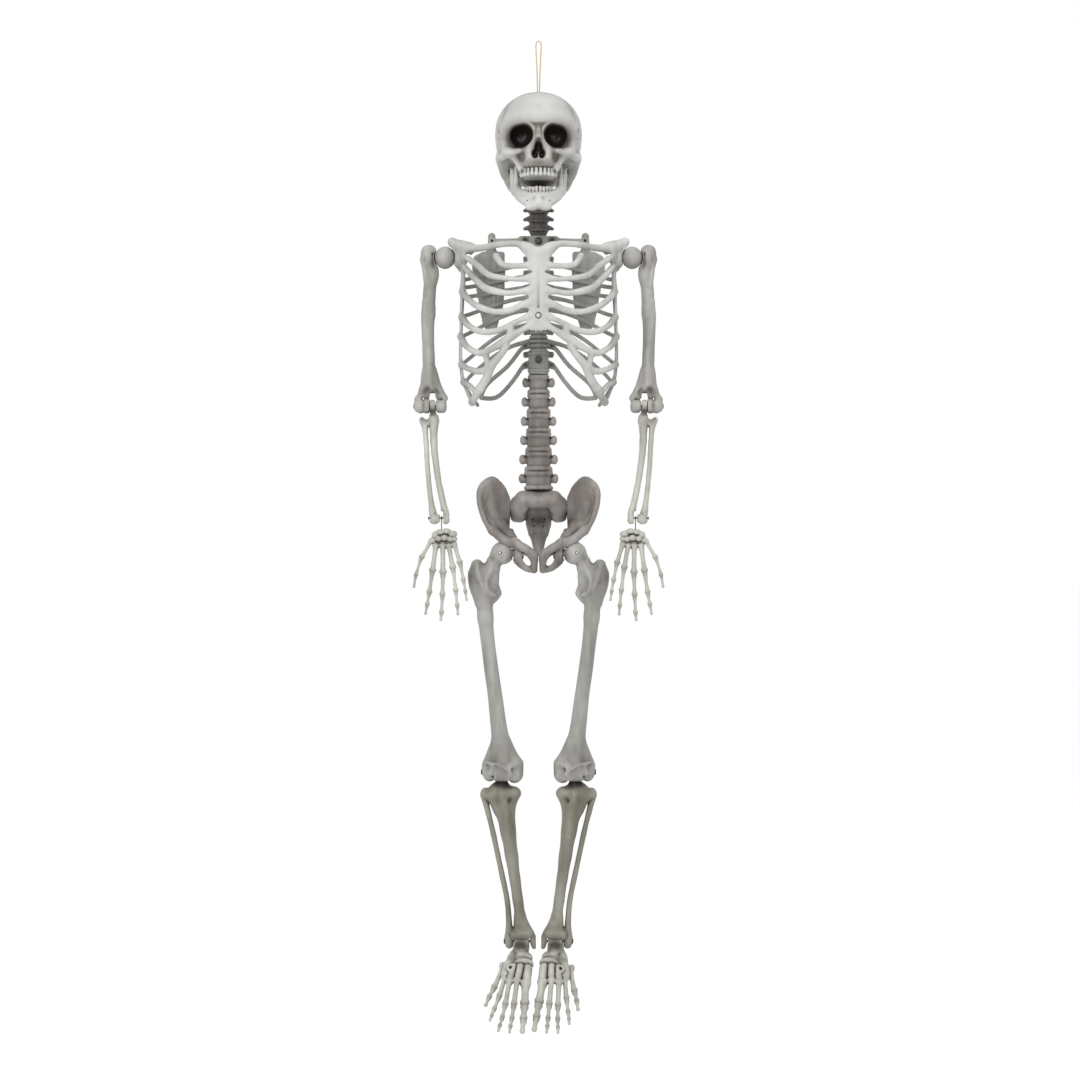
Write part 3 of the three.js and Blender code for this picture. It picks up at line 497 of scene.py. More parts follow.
def wear_and_shade_of(clay, distances, at, world):
    """Fine hollow (antiquing paint and painted shade), stain and painted shade, edge, and broad hollow
    (painted shade), each 0 to 1, for every vertex.
    """
    near = box_blur(np.clip(distances, -3, 3), max(1, round(FINE_REACH / clay.cell)))
    wide = box_blur(np.clip(distances, -6, 6), max(2, round(BROAD_REACH / clay.cell)))
    here, there = sample(near, at), sample(wide, at)
    stain_and_shade = np.zeros(len(at))
    for centre, r, strength in clay.stain_and_shade_spots:
        spread = strength * np.exp(-(((world - centre) / r) ** 2).sum(1))
        if clay.mirror and centre[0] > 0:
            other = centre * (-1, 1, 1)
            spread += strength * np.exp(-(((world - other) / r) ** 2).sum(1))
        stain_and_shade = np.maximum(stain_and_shade, spread)
    return np.stack(
        [
            np.clip(-here / 0.9, 0, 1),
            np.clip(stain_and_shade, 0, 1),
            np.clip(here / 0.9, 0, 1),
            np.clip((1.2 - there) / 4.5, 0, 1),
        ],
        1,
    )


def surface(clay):
    """The clay's surface as points in millimetres, quads, and the wear and painted shade at each point.
    """
    distances, low = clay.d, clay.low
    if clay.mirror:
        distances = np.concatenate([distances[:0:-1], distances])
        low = low - (clay.cell * (clay.size[0] - 1), 0, 0)
    distances = distances.copy()
    for axis in range(3):
        edge = [slice(None)] * 3
        for end in (0, -1):
            edge[axis] = end
            distances[tuple(edge)] = np.maximum(distances[tuple(edge)], 0.5)
    grid = vdb.FloatGrid(FAR)
    grid.copyFromArray(distances.astype(np.float32))
    at, _, quads = grid.convertToPolygons(isovalue=0.0, adaptivity=0.0)
    world = at * clay.cell + low
    return world, quads, wear_and_shade_of(clay, distances, at, world)


def show(name, world, quads, wear_and_shade, material, body, slot, flip=False):
    """Makes the mesh object and hands it to the frame."""
    mesh = bpy.data.meshes.new(name)
    faces = quads[:, ::-1] if flip else quads
    mesh.vertices.add(len(world))
    mesh.vertices.foreach_set("co", (world * MM).astype(np.float32).ravel())
    mesh.loops.add(faces.size)
    mesh.loops.foreach_set("vertex_index", np.ascontiguousarray(faces, np.int32).ravel())
    mesh.polygons.add(len(faces))
    mesh.polygons.foreach_set("loop_start", np.arange(0, faces.size, 4, dtype=np.int32))
    mesh.update(calc_edges=True)
    mesh.polygons.foreach_set("use_smooth", np.ones(len(faces), bool))
    colours = mesh.attributes.new("wear_and_shade", "FLOAT_COLOR", "POINT")
    colours.data.foreach_set("color", wear_and_shade.astype(np.float32).ravel())
    mesh.materials.append(material)
    piece = bpy.data.objects.new(name, mesh)
    bpy.context.scene.collection.objects.link(piece)
    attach(piece, body)
    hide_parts(name)
    return piece


def cast(clay, name, material, body, slot):
    """Turns one sculpt into the piece that stands for the CAD node of the same name."""
    return show(name, *surface(clay), material, body, slot)


def cast_pair(clay, name, material, body, slot, reshape=None):
    """Casts a left-side piece and its mirror image on the right, from one sculpt."""
    world, quads, wear_and_shade = surface(clay)
    for side, sign in SIDES.items():
        placed = world * (sign, 1, 1)
        if reshape:
            placed = reshape(placed, sign)
        rides = body if body == "torso" else f"{body}_{side}"
        show(f"{name}_{side}", placed, quads, wear_and_shade, material, rides, slot, flip=sign < 0)


# ---------- Skull and jaw ----------
CROWN_Z = -86
SKULL_SEAM_Y = -8
SEAM_GAP = 0.35
KNOT_Z = -95.4
JAW = pivot("jaw_open")
NECK_TURN, NECK_NOD = pivot("neck_turn"), pivot("neck_nod")


def tooth_row(clay, count, half_width, depth, back_y, top, bottom, size, gap):
    """Teeth along a half arc from the middle outwards, with a gap beside each darkened by paint and
    painted shade.
    """
    step = math.radians(86 / count)
    away = np.sign(bottom - top)

    def on_arc(share):
        angle = step * share
        return half_width * math.sin(angle), back_y - depth * math.cos(angle)

    def part_at(x, y, r):
        clay.bone([(x, y, top - away), (x, y, bottom + away)], [r, 0.4], k=0.6, dig=True)

    for i in range(count):
        at = on_arc(i + 0.5)
        tip = bottom - (0.9 if i == 1 else 0.4 * max(0, i - 3)) * away
        clay.bone([(*at, top), (*at, tip)], [size * 0.74, size], k=0.5, flat=(1, 0.85, 1))
        x, y = on_arc(i + 1)
        part_at(x, y - 4, 1.15)
        clay.stain_and_shade((x, y - 2, top + away * 2), (1.4, 4, 3), gap)
    front = back_y - depth - 2
    part_at(0, front - 2.4, 1.2)
    clay.stain_and_shade((0, front, top + away * 2), (1.2, 4, 3), gap)


def skull_clay():
    """The whole skull without its jaw, before it is parted into its two shells."""
    clay = Clay((-76, -96, -246), (76, 84, -80), 1.0, mirror=True)
    clay.ball((0, 0, -157), (69.6, 83.4, 67.2), k=0)
    clay.ball((0, -28, -136), (57, 55, 43), k=26)
    clay.keep(2, -205, above=True, k=10)
    clay.ball((0, 34, -196), (52, 42, 37), k=16)
    clay.ball((76, -46, -170), (12, 28, 26), k=12, dig=True)  # temple
    # Brow, outer rim of the eye socket and cheekbone.
    clay.bone([(0, -74, -140), (12, -74, -139.6), (24, -73, -139), (38, -68, -142), (49, -58, -152)],
              8.4, k=18)
    clay.bone([(49, -57, -152), (53, -54, -170), (52, -57, -183), (43, -67, -190), (30, -76, -189)],
              [5.5, 5, 6, 6.6, 4.6], k=9)
    clay.bone([(47, -62, -191), (57, -46, -194), (61.5, -24, -192), (61, 2, -187), (57, 16, -184)],
              [7.4, 6.6, 4.8, 4.6, 4], k=8)
    # Middle of the face.
    clay.ball((0, -54, -186), (34, 26, 30), k=8)
    clay.bone([(0, -79, -148), (0, -85, -158), (0, -89.5, -170)], [5, 4.4, 5], k=5)
    clay.bone([(7, -82, -168), (13.5, -79, -180), (16, -77, -196), (12, -80, -206)], [4.2, 5, 5.6, 5],
              k=6)
    clay.ball((0, -62, -207), (25, 25, 15), k=7)
    clay.ball((0, -57, -221), (27.5, 26.5, 10), k=4)
    clay.bone([(42, -66, -194), (34, -68, -206), (29, -66, -216)], [5.4, 4.4, 4], k=7)
    # Sockets with a sloping upper edge, nose and the hollow under each cheek.
    for at, r in (((22, -88, -162), (13.5, 40, 15)), ((32, -84, -165), (13.5, 38, 15.5)),
                  ((27, -88, -169), (16.5, 40, 14.5))):
        clay.ball(at, r, k=4, dig=True, turn=("Y", 14))
    clay.ball((5.4, -92, -194), (6.4, 24, 8.6), k=2, dig=True)
    clay.ball((0, -94, -184), (7.4, 26, 14), k=2, dig=True)
    clay.bone([(0, -72, -178), (0, -80, -190), (0, -82, -204)], [0.8, 1.1, 1.6], k=0.8)
    clay.ball((33, -82, -205), (6, 12, 10), k=6, dig=True)
    clay.ball((46, -46, -214), (10, 30, 15), k=5, dig=True)
    for line in (  # creases of the cheek and cracks at the temple
        [(38, -80, -186), (31, -84, -192), (27, -84, -202)],
        [(41, -79, -193), (36, -81, -198), (32, -82, -205)],
        [(54, -52, -148), (59, -44, -152), (61, -40, -147), (64, -32, -152)],
        [(58, -46, -158), (62, -38, -163), (66, -24, -160)],
    ):
        clay.bone(line, 0.9, k=1.6, dig=True)
    # Each tooth broadens downwards and its root runs up the jaw; dark paint and painted shade fill the
    # gaps.
    clay.block((-40, -120, -250), (40, -9, -226), edge=1, k=1.2, dig=True)
    tooth_row(clay, 6, 27.5, 31.5, -55, -218.5, -226.5, 3.3, gap=1.1)
    clay.block((-24, -78, -229.5), (24, -30, -222), edge=3, k=2)
    clay.block((-40, -120, -250), (40, -9, -231.5), edge=1, k=1.2, dig=True)
    # Mastoid, jaw screw boss, neck socket and the knot's hollow.
    clay.bone([(56, 4, -190), (53, 8, -208), (48, 12, -224), (45, 12, -236)], [12, 10, 7, 4], k=9)
    clay.block((27, -24, -222), (36, -10, -196), edge=2, k=3)
    clay.block((34, -53, -250), (49.6, -5, -202), edge=2, k=1, dig=True)
    clay.rod((0, NECK_TURN[1], -244), (0, NECK_TURN[1], -223), 15, k=4)
    clay.rod((0, NECK_TURN[1], -260), (0, NECK_TURN[1], -206), 7, dig=True)
    clay.rod((0, NECK_TURN[1], -222), (0, NECK_TURN[1], -205), 12.6, dig=True)
    clay.rod((24, JAW[1], JAW[2]), (40, JAW[1], JAW[2]), BORE, dig=True)
    clay.rod((0, 0, -96), (0, 0, -78), 3, dig=True)
    clay.ball((0, 0, KNOT_Z), 6.4, k=1, dig=True)
    # Bumps on the back of the head.
    clay.bone([(0, 80, -176), (18, 76, -182), (36, 62, -188)], [2.5, 2, 1.5], k=6)
    clay.dent(0.3, 12)
    # Dark paint and painted shade: near-black in the eye sockets and nose hole, painted shade on the
    # skull's underside over the jaw, under the cheeks and behind the cheekbones, and a brown paint wash
    # over the upper jaw and between the sockets.
    for at, r, strength in (
        ((27, -60, -165), (19.5, 27, 19), 2.6), ((0, -66, -188), (11, 15, 16), 2.6),
        ((0, -88.5, -149), (7, 9, 2.6), 0.6), ((33, -78, -203), (7, 9, 10), 0.62),
        ((0, -10, -229), (42, 28, 9), 2.2), ((48, -34, -212), (10, 26, 14), 0.9),
        ((0, -76, -232), (30, 22, 3), 0.42), ((0, -86, -208), (27, 16, 10), 0.55),
        ((40, -64, -197), (14, 16, 8), 0.45), ((0, -88, -164), (13, 10, 15), 0.55),
        ((24, -76, -194), (10, 14, 14), 0.5), ((55, 2, -214), (12, 22, 20), 0.36),
        ((34, -84, -192), (6, 6, 4), 0.5), ((60, -46, -152), (8, 12, 9), 0.16),
    ):
        clay.stain_and_shade(at, r, strength)
    return clay


def build_skull(paint):
    whole = skull_clay()
    face, rear = whole.copy(), whole
    face.keep(1, SKULL_SEAM_Y - SEAM_GAP, above=False)
    rear.keep(1, SKULL_SEAM_Y + SEAM_GAP, above=True)
    cast(face, "skull_face_shell", paint, "skull", "pale_bone")
    cast(rear, "skull_rear_shell", paint, "skull", "pale_bone")


def build_mandible(paint):
    clay = Clay((-50, -94, -291), (50, -4, -198), 0.9, mirror=True)
    clay.bone([(37.6, -22, -243), (35, -42, -250), (27, -61, -261), (14.5, -75, -270), (0, -79, -273)],
              [5, 6.5, 7.4, 8, 7.6], k=6)
    clay.bone([(36, -30, -238), (32.4, -48, -246), (24.5, -63, -253), (13, -75, -258), (0, -79, -259)],
              [4, 4.5, 5, 5.5, 5.5], k=8)
    # The upright plate, with the knob that the skull holds and the blade in front of it.
    clay.bone([(42.2, -15, -213), (42, -16, -232), (38.6, -22, -244)], [4.2, 4, 5], k=6)
    clay.bone([(40.4, -26, -219), (39.4, -28, -234), (36.6, -33, -246)], [2.6, 3.6, 5], k=9)
    clay.bone([(36.6, -38, -207), (35.4, -37, -226), (33.6, -42, -246)], [1.8, 3.2, 4.6], k=9)
    clay.rod((38.8, JAW[1], JAW[2]), (45.6, JAW[1], JAW[2]), 6.6, k=2)
    # Chin, with its ridge that splits into two low bumps.
    clay.bone([(0, -84, -262), (0, -86, -272)], [1.8, 2.6], k=7)
    for x in (8, 16):
        clay.bone([(0, -84, -272), (x, -79.5, -279)], [2.6, 3.4], k=8)
    tooth_row(clay, 6, 23, 24.5, -55.5, -254.6, -247.2, 2.7, gap=0.7)
    clay.ball((18, -82, -268), (1.3, 3, 1.1), k=1, dig=True)
    clay.rod((36, JAW[1], JAW[2]), (50, JAW[1], JAW[2]), 2.6, dig=True)
    clay.keep(0, 45.9, above=False)
    clay.dent(0.25, 9, 1.0)
    # Painted shade inside the mouth behind the teeth, under the chin, down the back of the upright plate
    # and along the blade.
    clay.stain_and_shade((0, -50, -250), (20, 22, 10), 1.4).stain_and_shade((0, -66, -284), (24, 20, 6), 0.4)
    clay.stain_and_shade((34, -20, -222), (4, 18, 24), 0.35).stain_and_shade((31, -44, -236), (3, 14, 12), 0.5)
    cast(clay, "mandible", paint, "jaw", "pale_bone")


# ---------- Neck ----------
SPINE_Y = 40
CHEST_TOP_Z = -308
NECK_SCREW_Z = -318
WAIST_Z = -534
WAIST_SCREW_Z = WAIST_Z + 24
SACRUM_Z = -722


def build_neck(paint):
    y, nod, turn = NECK_TURN[1], NECK_NOD[2], NECK_TURN[2]
    swivel = Clay((-14, y - 14, nod - 10), (14, y + 14, -219), 0.8)
    swivel.rod((0, y, -221.6), (0, y, turn), 6, k=0.6)
    swivel.rod((0, y, turn + 1.2), (0, y, turn - 2), 12, k=1.5)
    swivel.rod((-3.4, y, nod), (3.4, y, nod), 7.8, k=1)
    swivel.block((-3.4, y - 6, nod), (3.4, y + 6, turn - 1), edge=0.8, k=1.5)
    swivel.rod((-8, y, nod), (8, y, nod), PIN_BORE, dig=True)
    swivel.rod((0, y, -215), (0, y, -234), BORE, dig=True)
    cast(swivel, "neck_swivel", paint, "neck_link", "spine_bone")

    def lean(z):
        return y + (nod - z) / (nod - CHEST_TOP_Z) * (SPINE_Y - y)

    clay = Clay((-26, y - 22, -328), (26, 82, nod + 10), 0.9, mirror=True)
    clay.rod((0, SPINE_Y, -296), (0, SPINE_Y, -326), 9)
    clay.bone([(0, lean(-262), -262), (0, lean(-303), -300)], [12, 13.4], k=1, flat=(1.1, 0.95, 1))
    for z in (-267, -281, -295):
        at = lean(z)
        clay.ball((0, at, z + 1.5), (16, 14, 4), k=4)
        clay.ball((0, at - 1, z - 4.5), (14.5, 13.6, 3), k=3)
        clay.bone([(9, at + 2, z), (16, at + 3, z + 0.5), (22.5, at + 4, z - 1)], [4.4, 4.0, 2.8], k=3)
        clay.bone([(9, at + 5, z - 4), (14, at + 6, z - 4)], [3, 2.4], k=2)
        clay.bone([(0, at + 8, z - 1), (0, at + 17, z - 3), (0, at + 24, z - 6)], [4.5, 3, 2.4], k=3)
        clay.bone([(0, at - 12, z + 3), (4, at - 12, z - 6)], [2.4, 1.8], k=2)
        clay.bone([(5, at - 11, z - 8), (9, at - 8, z - 8)], 1.0, k=1.5, dig=True)
    clay.rod((4.2, y, nod), (9.4, y, nod), 8, k=1).block((4.2, y - 7, nod), (9.4, y + 7, nod - 13), k=2)
    clay.block((-4.1, y - 16, nod + 12), (4.1, y + 20, nod - 9.5), edge=0.4, k=0.6, dig=True)
    clay.rod((0, y, nod), (20, y, nod), PIN_BORE, dig=True)
    clay.rod((0, 20, NECK_SCREW_Z), (0, 60, NECK_SCREW_Z), BORE, dig=True)
    # Painted shade in the gaps between the rings, at the top under the skull and over the whole column
    # below the jaw.
    clay.stain_and_shade((0, lean(-274) - 10, -274), (12, 8, 3.4), 0.7)
    clay.stain_and_shade((0, lean(-288) - 10, -288), (12, 8, 3.4), 0.7)
    clay.stain_and_shade((0, lean(-262), -260), (24, 22, 8), 0.6)
    clay.stain_and_shade((0, lean(-282) - 6, -282), (42, 40, 60), 0.5)
    cast(clay, "cervical_spine", paint, "torso", "spine_bone")


# ---------- Rib cage ----------
RIB_SEAM_Y = -6
CHEST_SCREW_Z = -450
SHOULDER = pivot("shoulder_swing_left")
# Each front rib, from the breastbone to the side rail, with its radii.
FRONT_RIBS = [
    ([(13, -80, -369), (33, -80, -371), (51, -76, -370), (61, -71, -364), (67, -62, -353)],
     [5.4, 4.2, 4.4, 5.2, 5.6]),
    ([(13, -83, -390), (32, -81, -392), (53, -78, -390), (79, -70, -384), (94, -56, -370),
      (118, -20, -348)], [5.4, 4.0, 4.2, 4.8, 5, 5]),
    ([(13, -85, -410), (31, -84, -412), (48, -81, -414), (79, -72, -407), (93, -62, -397),
      (119, -18, -365)], [6, 4.2, 4.6, 5.8, 5.4, 4.8]),
    ([(13, -86, -430), (28, -85, -434), (40, -84, -440), (67, -78, -443), (97, -60, -432),
      (116, -30, -414), (122, -12, -404)], [7, 5.2, 4.8, 5, 5, 5, 5.4]),
    ([(13, -86, -450), (27, -85, -456), (40, -84, -462), (61, -79, -472), (88, -68, -474),
      (110, -48, -463), (123, -12, -445)], [5.6, 4.2, 4.2, 5, 5, 4.8, 5.4]),
    ([(10, -86, -463), (25, -85, -472), (42, -83, -482), (56, -80, -491), (73, -76, -501),
      (93, -64, -507), (114, -42, -495), (125, -12, -476)], [5.2, 4.6, 7, 6.6, 5.2, 5, 4.8, 5]),
    ([(50, -81, -497), (58, -79, -509), (70, -73, -522), (82, -67, -532), (95, -60, -536),
      (112, -42, -530), (124, -12, -521)], [5.2, 5.4, 6.6, 5, 5, 4.6, 5]),
    ([(74, -70, -528), (82, -64, -546), (93, -56, -562), (101, -48, -566), (110, -34, -556),
      (121, -12, -549)], [6, 6.4, 6.4, 5, 4.2, 4.6]),
    ([(92, -56, -563), (99, -46, -573), (106, -22, -582)], [6.4, 5.4, 6.6]),
    ([(43, -83, -470), (47, -82, -484)], [4.6, 4.8]),  # struts that tie the lower ribs together
    ([(84, -68, -508), (79, -69, -527)], [5, 4.6]),
]
FRONT_RAIL = [(121, -9, -372), (124, -10, -420), (125, -10, -470), (124, -10, -524), (118, -11, -556),
              (106, -18, -581)]


def build_front_cage(paint):
    x, y, z = SHOULDER
    clay = Clay((-146, -94, -590), (146, 18, -312), 1.1, mirror=True)
    for points, radii in FRONT_RIBS:
        clay.bone(points, radii, k=3.5, step=9, flat=(1, 0.85, 1))
    clay.bone(FRONT_RAIL, [2.8, 2.4, 2.4, 2.4, 2.6, 4], k=3, step=14)
    for z_knob, x_knob in ((-404, 122), (-445, 123.6), (-476, 125), (-521, 124), (-549, 120)):
        clay.ball((x_knob, -11, z_knob), (4.6, 5, 5.6), k=3)
    # Breastbone, with its notch, the steps where the ribs meet it and its ragged lower edge.
    clay.bone([(0, -79, -352), (0, -82, -368), (0, -85, -405), (0, -87, -440), (0, -86, -462)],
              [15.5, 13, 12.5, 13, 12.5], k=3, flat=(1.32, 0.4, 1))
    clay.bone([(0, -78.5, -350), (14, -77, -346), (22, -75, -341)], [7, 7.5, 7], k=5, flat=(1, 0.8, 1))
    for z_step in (-381, -401, -421, -441, -458):
        clay.bone([(11, -86.5 + abs(z_step + 440) * 0.04, z_step), (19, -83, z_step)], [1.4, 2.2], k=3,
                  dig=True)
    clay.bone([(0, -93, -378), (0, -93.5, -436)], [2.4, 2.2], k=5, dig=True)
    for x_tab, drop in ((4, -474), (10.5, -471.5), (15.5, -469)):
        clay.bone([(x_tab, -86, -458), (x_tab, -86.5, drop)], [4, 2.2], k=1, flat=(1, 0.7, 1))
    clay.ball((0, -84, -330), (10, 14, 10.5), k=4, dig=True)
    # Collar bone and the flared block behind it that carries the arm.
    clay.bone([(17, -77, -341), (34, -74, -335), (60, -65, -335), (84, -46, -337), (104, -26, -336),
               (124, -9, -333)], [6.4, 5.2, 4.8, 5.4, 6.2, 8.2], k=5)
    clay.bone([(108, -19, -334), (124, -9, -331), (139.5, -4, -322.5)], [7.4, 9.5, 6.2], k=6)
    clay.bone([(114, -15, -338), (124, -6, -350), (125, -4, -366)], [9, 11, 5.4], k=7)
    clay.bone([(139, -4, -324), (134, -3, -341), (129.5, -2, -358)], [5.6, 7.4, 6], k=6)
    clay.ball((118, -12, -352), (5, 8, 7), k=5)
    clay.rod((121, y, z), (131, y, z), 15.4, k=3)
    clay.bone([(123, -9, -356), (121, -9, -374), (122, -10, -398)], [5, 3, 3], k=4)
    clay.ball((113, -18, -348), (4, 10, 5), k=3, dig=True)
    clay.ball((x, y, z), 19.6, k=0.8, dig=True)
    clay.rod((90, y, z), (140, y, z), 7, dig=True)
    clay.block((97, -12, z - 12), (121.8, 12, z + 12), edge=0.5, k=0.6, dig=True)
    clay.block((-160, RIB_SEAM_Y, -372), (160, 60, -600), edge=0.2, k=0.3, dig=True)
    clay.rod((0, -100, CHEST_SCREW_Z), (0, -70, CHEST_SCREW_Z), BORE, dig=True)
    clay.rod((0, -100, CHEST_SCREW_Z), (0, -88.4, CHEST_SCREW_Z), 4.9, dig=True)
    clay.bone([(0, -86.5, CHEST_SCREW_Z - 6.2), (6.2, -86.5, CHEST_SCREW_Z),
               (0, -86.5, CHEST_SCREW_Z + 6.2)], 0.7, k=1)
    clay.dent(0.3, 14, 2.0)
    # Painted shade in the pit under the collar bone's block, below the shoulder's block, under the
    # breastbone's tabs and under the collar bone.
    clay.stain_and_shade((112, -14, -346), (10, 14, 6), 0.5).stain_and_shade((128, 2, -364), (10, 12, 8), 0.5)
    clay.stain_and_shade((0, -86, -476), (16, 6, 3.5), 0.5).stain_and_shade((96, -34, -346), (16, 10, 5), 0.25)
    cast(clay, "rib_cage_front", paint, "torso", "pale_bone")


# Rear ribs: height at the spine, reach at the side rail, height at the side rail.
REAR_RIBS = [(-352, 120, -384), (-372, 121, -396), (-390, 122, -411), (-406, 123, -443),
             (-426, 125, -476), (-450, 124, -521), (-478, 119, -551)]
FLOATING_RIBS = [
    [(14, 42, -486), (27, 46, -490), (50, 66, -517), (83, 56, -547), (93, 20, -569)],
    [(14, 42, -514), (24, 46, -518), (42, 64, -542), (63, 54, -566), (78, 32, -573), (93, 10, -573)],
]
REAR_RAIL = [(120, -1, -380), (125, -1, -470), (125, -1, -524), (118, -1, -556), (98, -2, -586)]
POST = (76, 54, -314)
DISCS, DISC_PITCH = 27, 7.2


def rear_rib(low_z, reach, end_z):
    def at(share):
        return low_z + (end_z - low_z) * share

    return [(12, 44, low_z), (26, 54, at(0.04)), (44, 64, at(0.1)), (76, 66, at(0.35)),
            (108, 40, at(0.75)), (reach, -2, end_z)]


def build_rear_cage(paint):
    clay = Clay((-134, -84, -592), (134, 80, -304), 1.2, mirror=True)
    for rib in REAR_RIBS:
        clay.bone(rear_rib(*rib), [4.4, 4, 3.6, 3.6, 3.5, 3.4], k=1.5, step=9, flat=(0.8, 0.72, 1))
    for points in FLOATING_RIBS:
        clay.bone(points, [4.4] + [3.8] * (len(points) - 1), k=1.5, step=9, flat=(0.9, 0.72, 1))
    clay.bone(REAR_RAIL, 3.1, k=1.5, step=14, flat=(0.9, 1, 1))
    # Spine: a collar at each end and a stack of thin discs with a pair of bosses at every rib.
    clay.rod((0, SPINE_Y, CHEST_TOP_Z - 0.6), (0, SPINE_Y, -332), 17.5, k=1)
    clay.rod((0, SPINE_Y, -330), (0, SPINE_Y, WAIST_Z + 20), 12.6, k=1)
    clay.rod((0, SPINE_Y, WAIST_Z + 40), (0, SPINE_Y, WAIST_Z + 0.5), 16.4, k=1)
    for i in range(DISCS):
        top = -334 - DISC_PITCH * i
        clay.rod((0, SPINE_Y, top), (0, SPINE_Y, top - 3.4), 15, k=0.8, edge=1.2)
    for ring in (-311.5, -326.5, WAIST_Z + 7, WAIST_Z + 34):
        clay.rod((0, SPINE_Y, ring - 1.6), (0, SPINE_Y, ring + 1.6), 18.4, k=0.8, edge=1.2)
    for z in (-344, -367, -391, -415, -439, -463, -486, -500, -518):
        clay.rod((14, SPINE_Y + 6, z), (24.5, SPINE_Y + 8, z - 1), 5, k=3, edge=1.6)
        clay.bone([(22, SPINE_Y + 2, z), (22, SPINE_Y - 8, z)], 1.7, k=1, dig=True)
        clay.bone([(0, SPINE_Y + 14, z - 1), (0, SPINE_Y + 31, z - 8)], [4, 2.6], k=2)
        # Painted shade in the hole beside each boss.
        clay.stain_and_shade((22, SPINE_Y - 1, z), (5, 6, 5), 0.8)
    # Bars to the posts that carry the shoulder blades.
    clay.bone([(14, SPINE_Y + 2, POST[2] + 1), (28, 43, POST[2] + 1.5)], 5.4, k=3)
    clay.bone([(0, SPINE_Y, POST[2] + 1), (40, 48, POST[2]), POST], [5, 3.8, 4], k=3)
    clay.rod((POST[0], 48, POST[2]), (POST[0], 71.4, POST[2]), 6.2, k=1.5)
    clay.bone([(22.5, SPINE_Y - 2, -314), (22.5, SPINE_Y - 10, -314)], 1.8, k=1, dig=True)
    # Painted shade in the hole beside the bar to the post.
    clay.stain_and_shade((22, SPINE_Y - 4, -314), (5, 6, 5), 0.9)
    clay.block((-160, -84, -300), (160, RIB_SEAM_Y + 0.6, -600), edge=0.1, k=0.2, dig=True)
    clay.rod((0, SPINE_Y - 6, CHEST_SCREW_Z), (0, -79.4, CHEST_SCREW_Z), 6, k=1.5)
    clay.rod((0, SPINE_Y, -290), (0, SPINE_Y, -327), 9.6, dig=True)
    clay.rod((0, SPINE_Y, WAIST_Z + 33), (0, SPINE_Y, WAIST_Z - 5), 9.8, dig=True)
    for z in (NECK_SCREW_Z, WAIST_SCREW_Z):
        clay.rod((0, SPINE_Y - 30, z), (0, 62, z), BORE, dig=True)
        clay.rod((0, SPINE_Y - 30, z), (0, SPINE_Y - 14.5, z), 5, dig=True)
        # Painted shade in each screw's counterbore.
        clay.stain_and_shade((0, SPINE_Y - 16, z), (6, 6, 6), 1.0)
    clay.rod((0, -100, CHEST_SCREW_Z), (0, -60, CHEST_SCREW_Z), BORE, dig=True)
    clay.rod((POST[0], 40, POST[2]), (POST[0], 80, POST[2]), BORE, dig=True)
    cast(clay, "rib_cage_rear", paint, "torso", "spine_bone")


def build_scapulae(paint):
    clay = Clay((48, 66, -468), (116, 86, -294), 1.0)
    panel = [
        ([(61, 74, -334), (62, 74, -400), (69, 74, -436), (76, 74, -457)], [6, 6.4, 6, 5.4]),
        ([(75, 74, -336), (76, 74, -400), (78, 74, -452)], [9, 9, 7]),
        ([(90, 74, -338), (88, 74, -400), (84, 74, -446)], [9, 8, 6]),
        ([(102, 74, -340), (104, 74, -352), (96, 74, -395), (86, 74, -446)], [5.4, 5.4, 5.6, 5]),
    ]
    for points, radii in panel:
        clay.bone(points, radii, k=3, flat=(1, 0.36, 1))
    for x in (70, 82, 93):  # ribs moulded along the panel
        clay.bone([(x, 71.8, -338), (x - (x - 78) * 0.3, 71.8, -430)], 1.0, k=2.4)
    clay.bone([(60, 77, -357), (80, 80, -352), (106, 79, -343)], [3, 4.6, 3.4], k=3)
    clay.bone([(77, 74.6, -336), (77, 74.6, -304)], [6.8, 6.4], k=2, flat=(1, 0.4, 1))
    clay.rod((POST[0], 72.5, POST[2]), (POST[0], 90, POST[2]), BORE, dig=True)
    clay.dent(0.2, 12, 3.0)
    cast_pair(clay, "scapula", paint, "torso", "spine_bone")


# ---------- Lower back and pelvis ----------
VERTEBRAE = 6


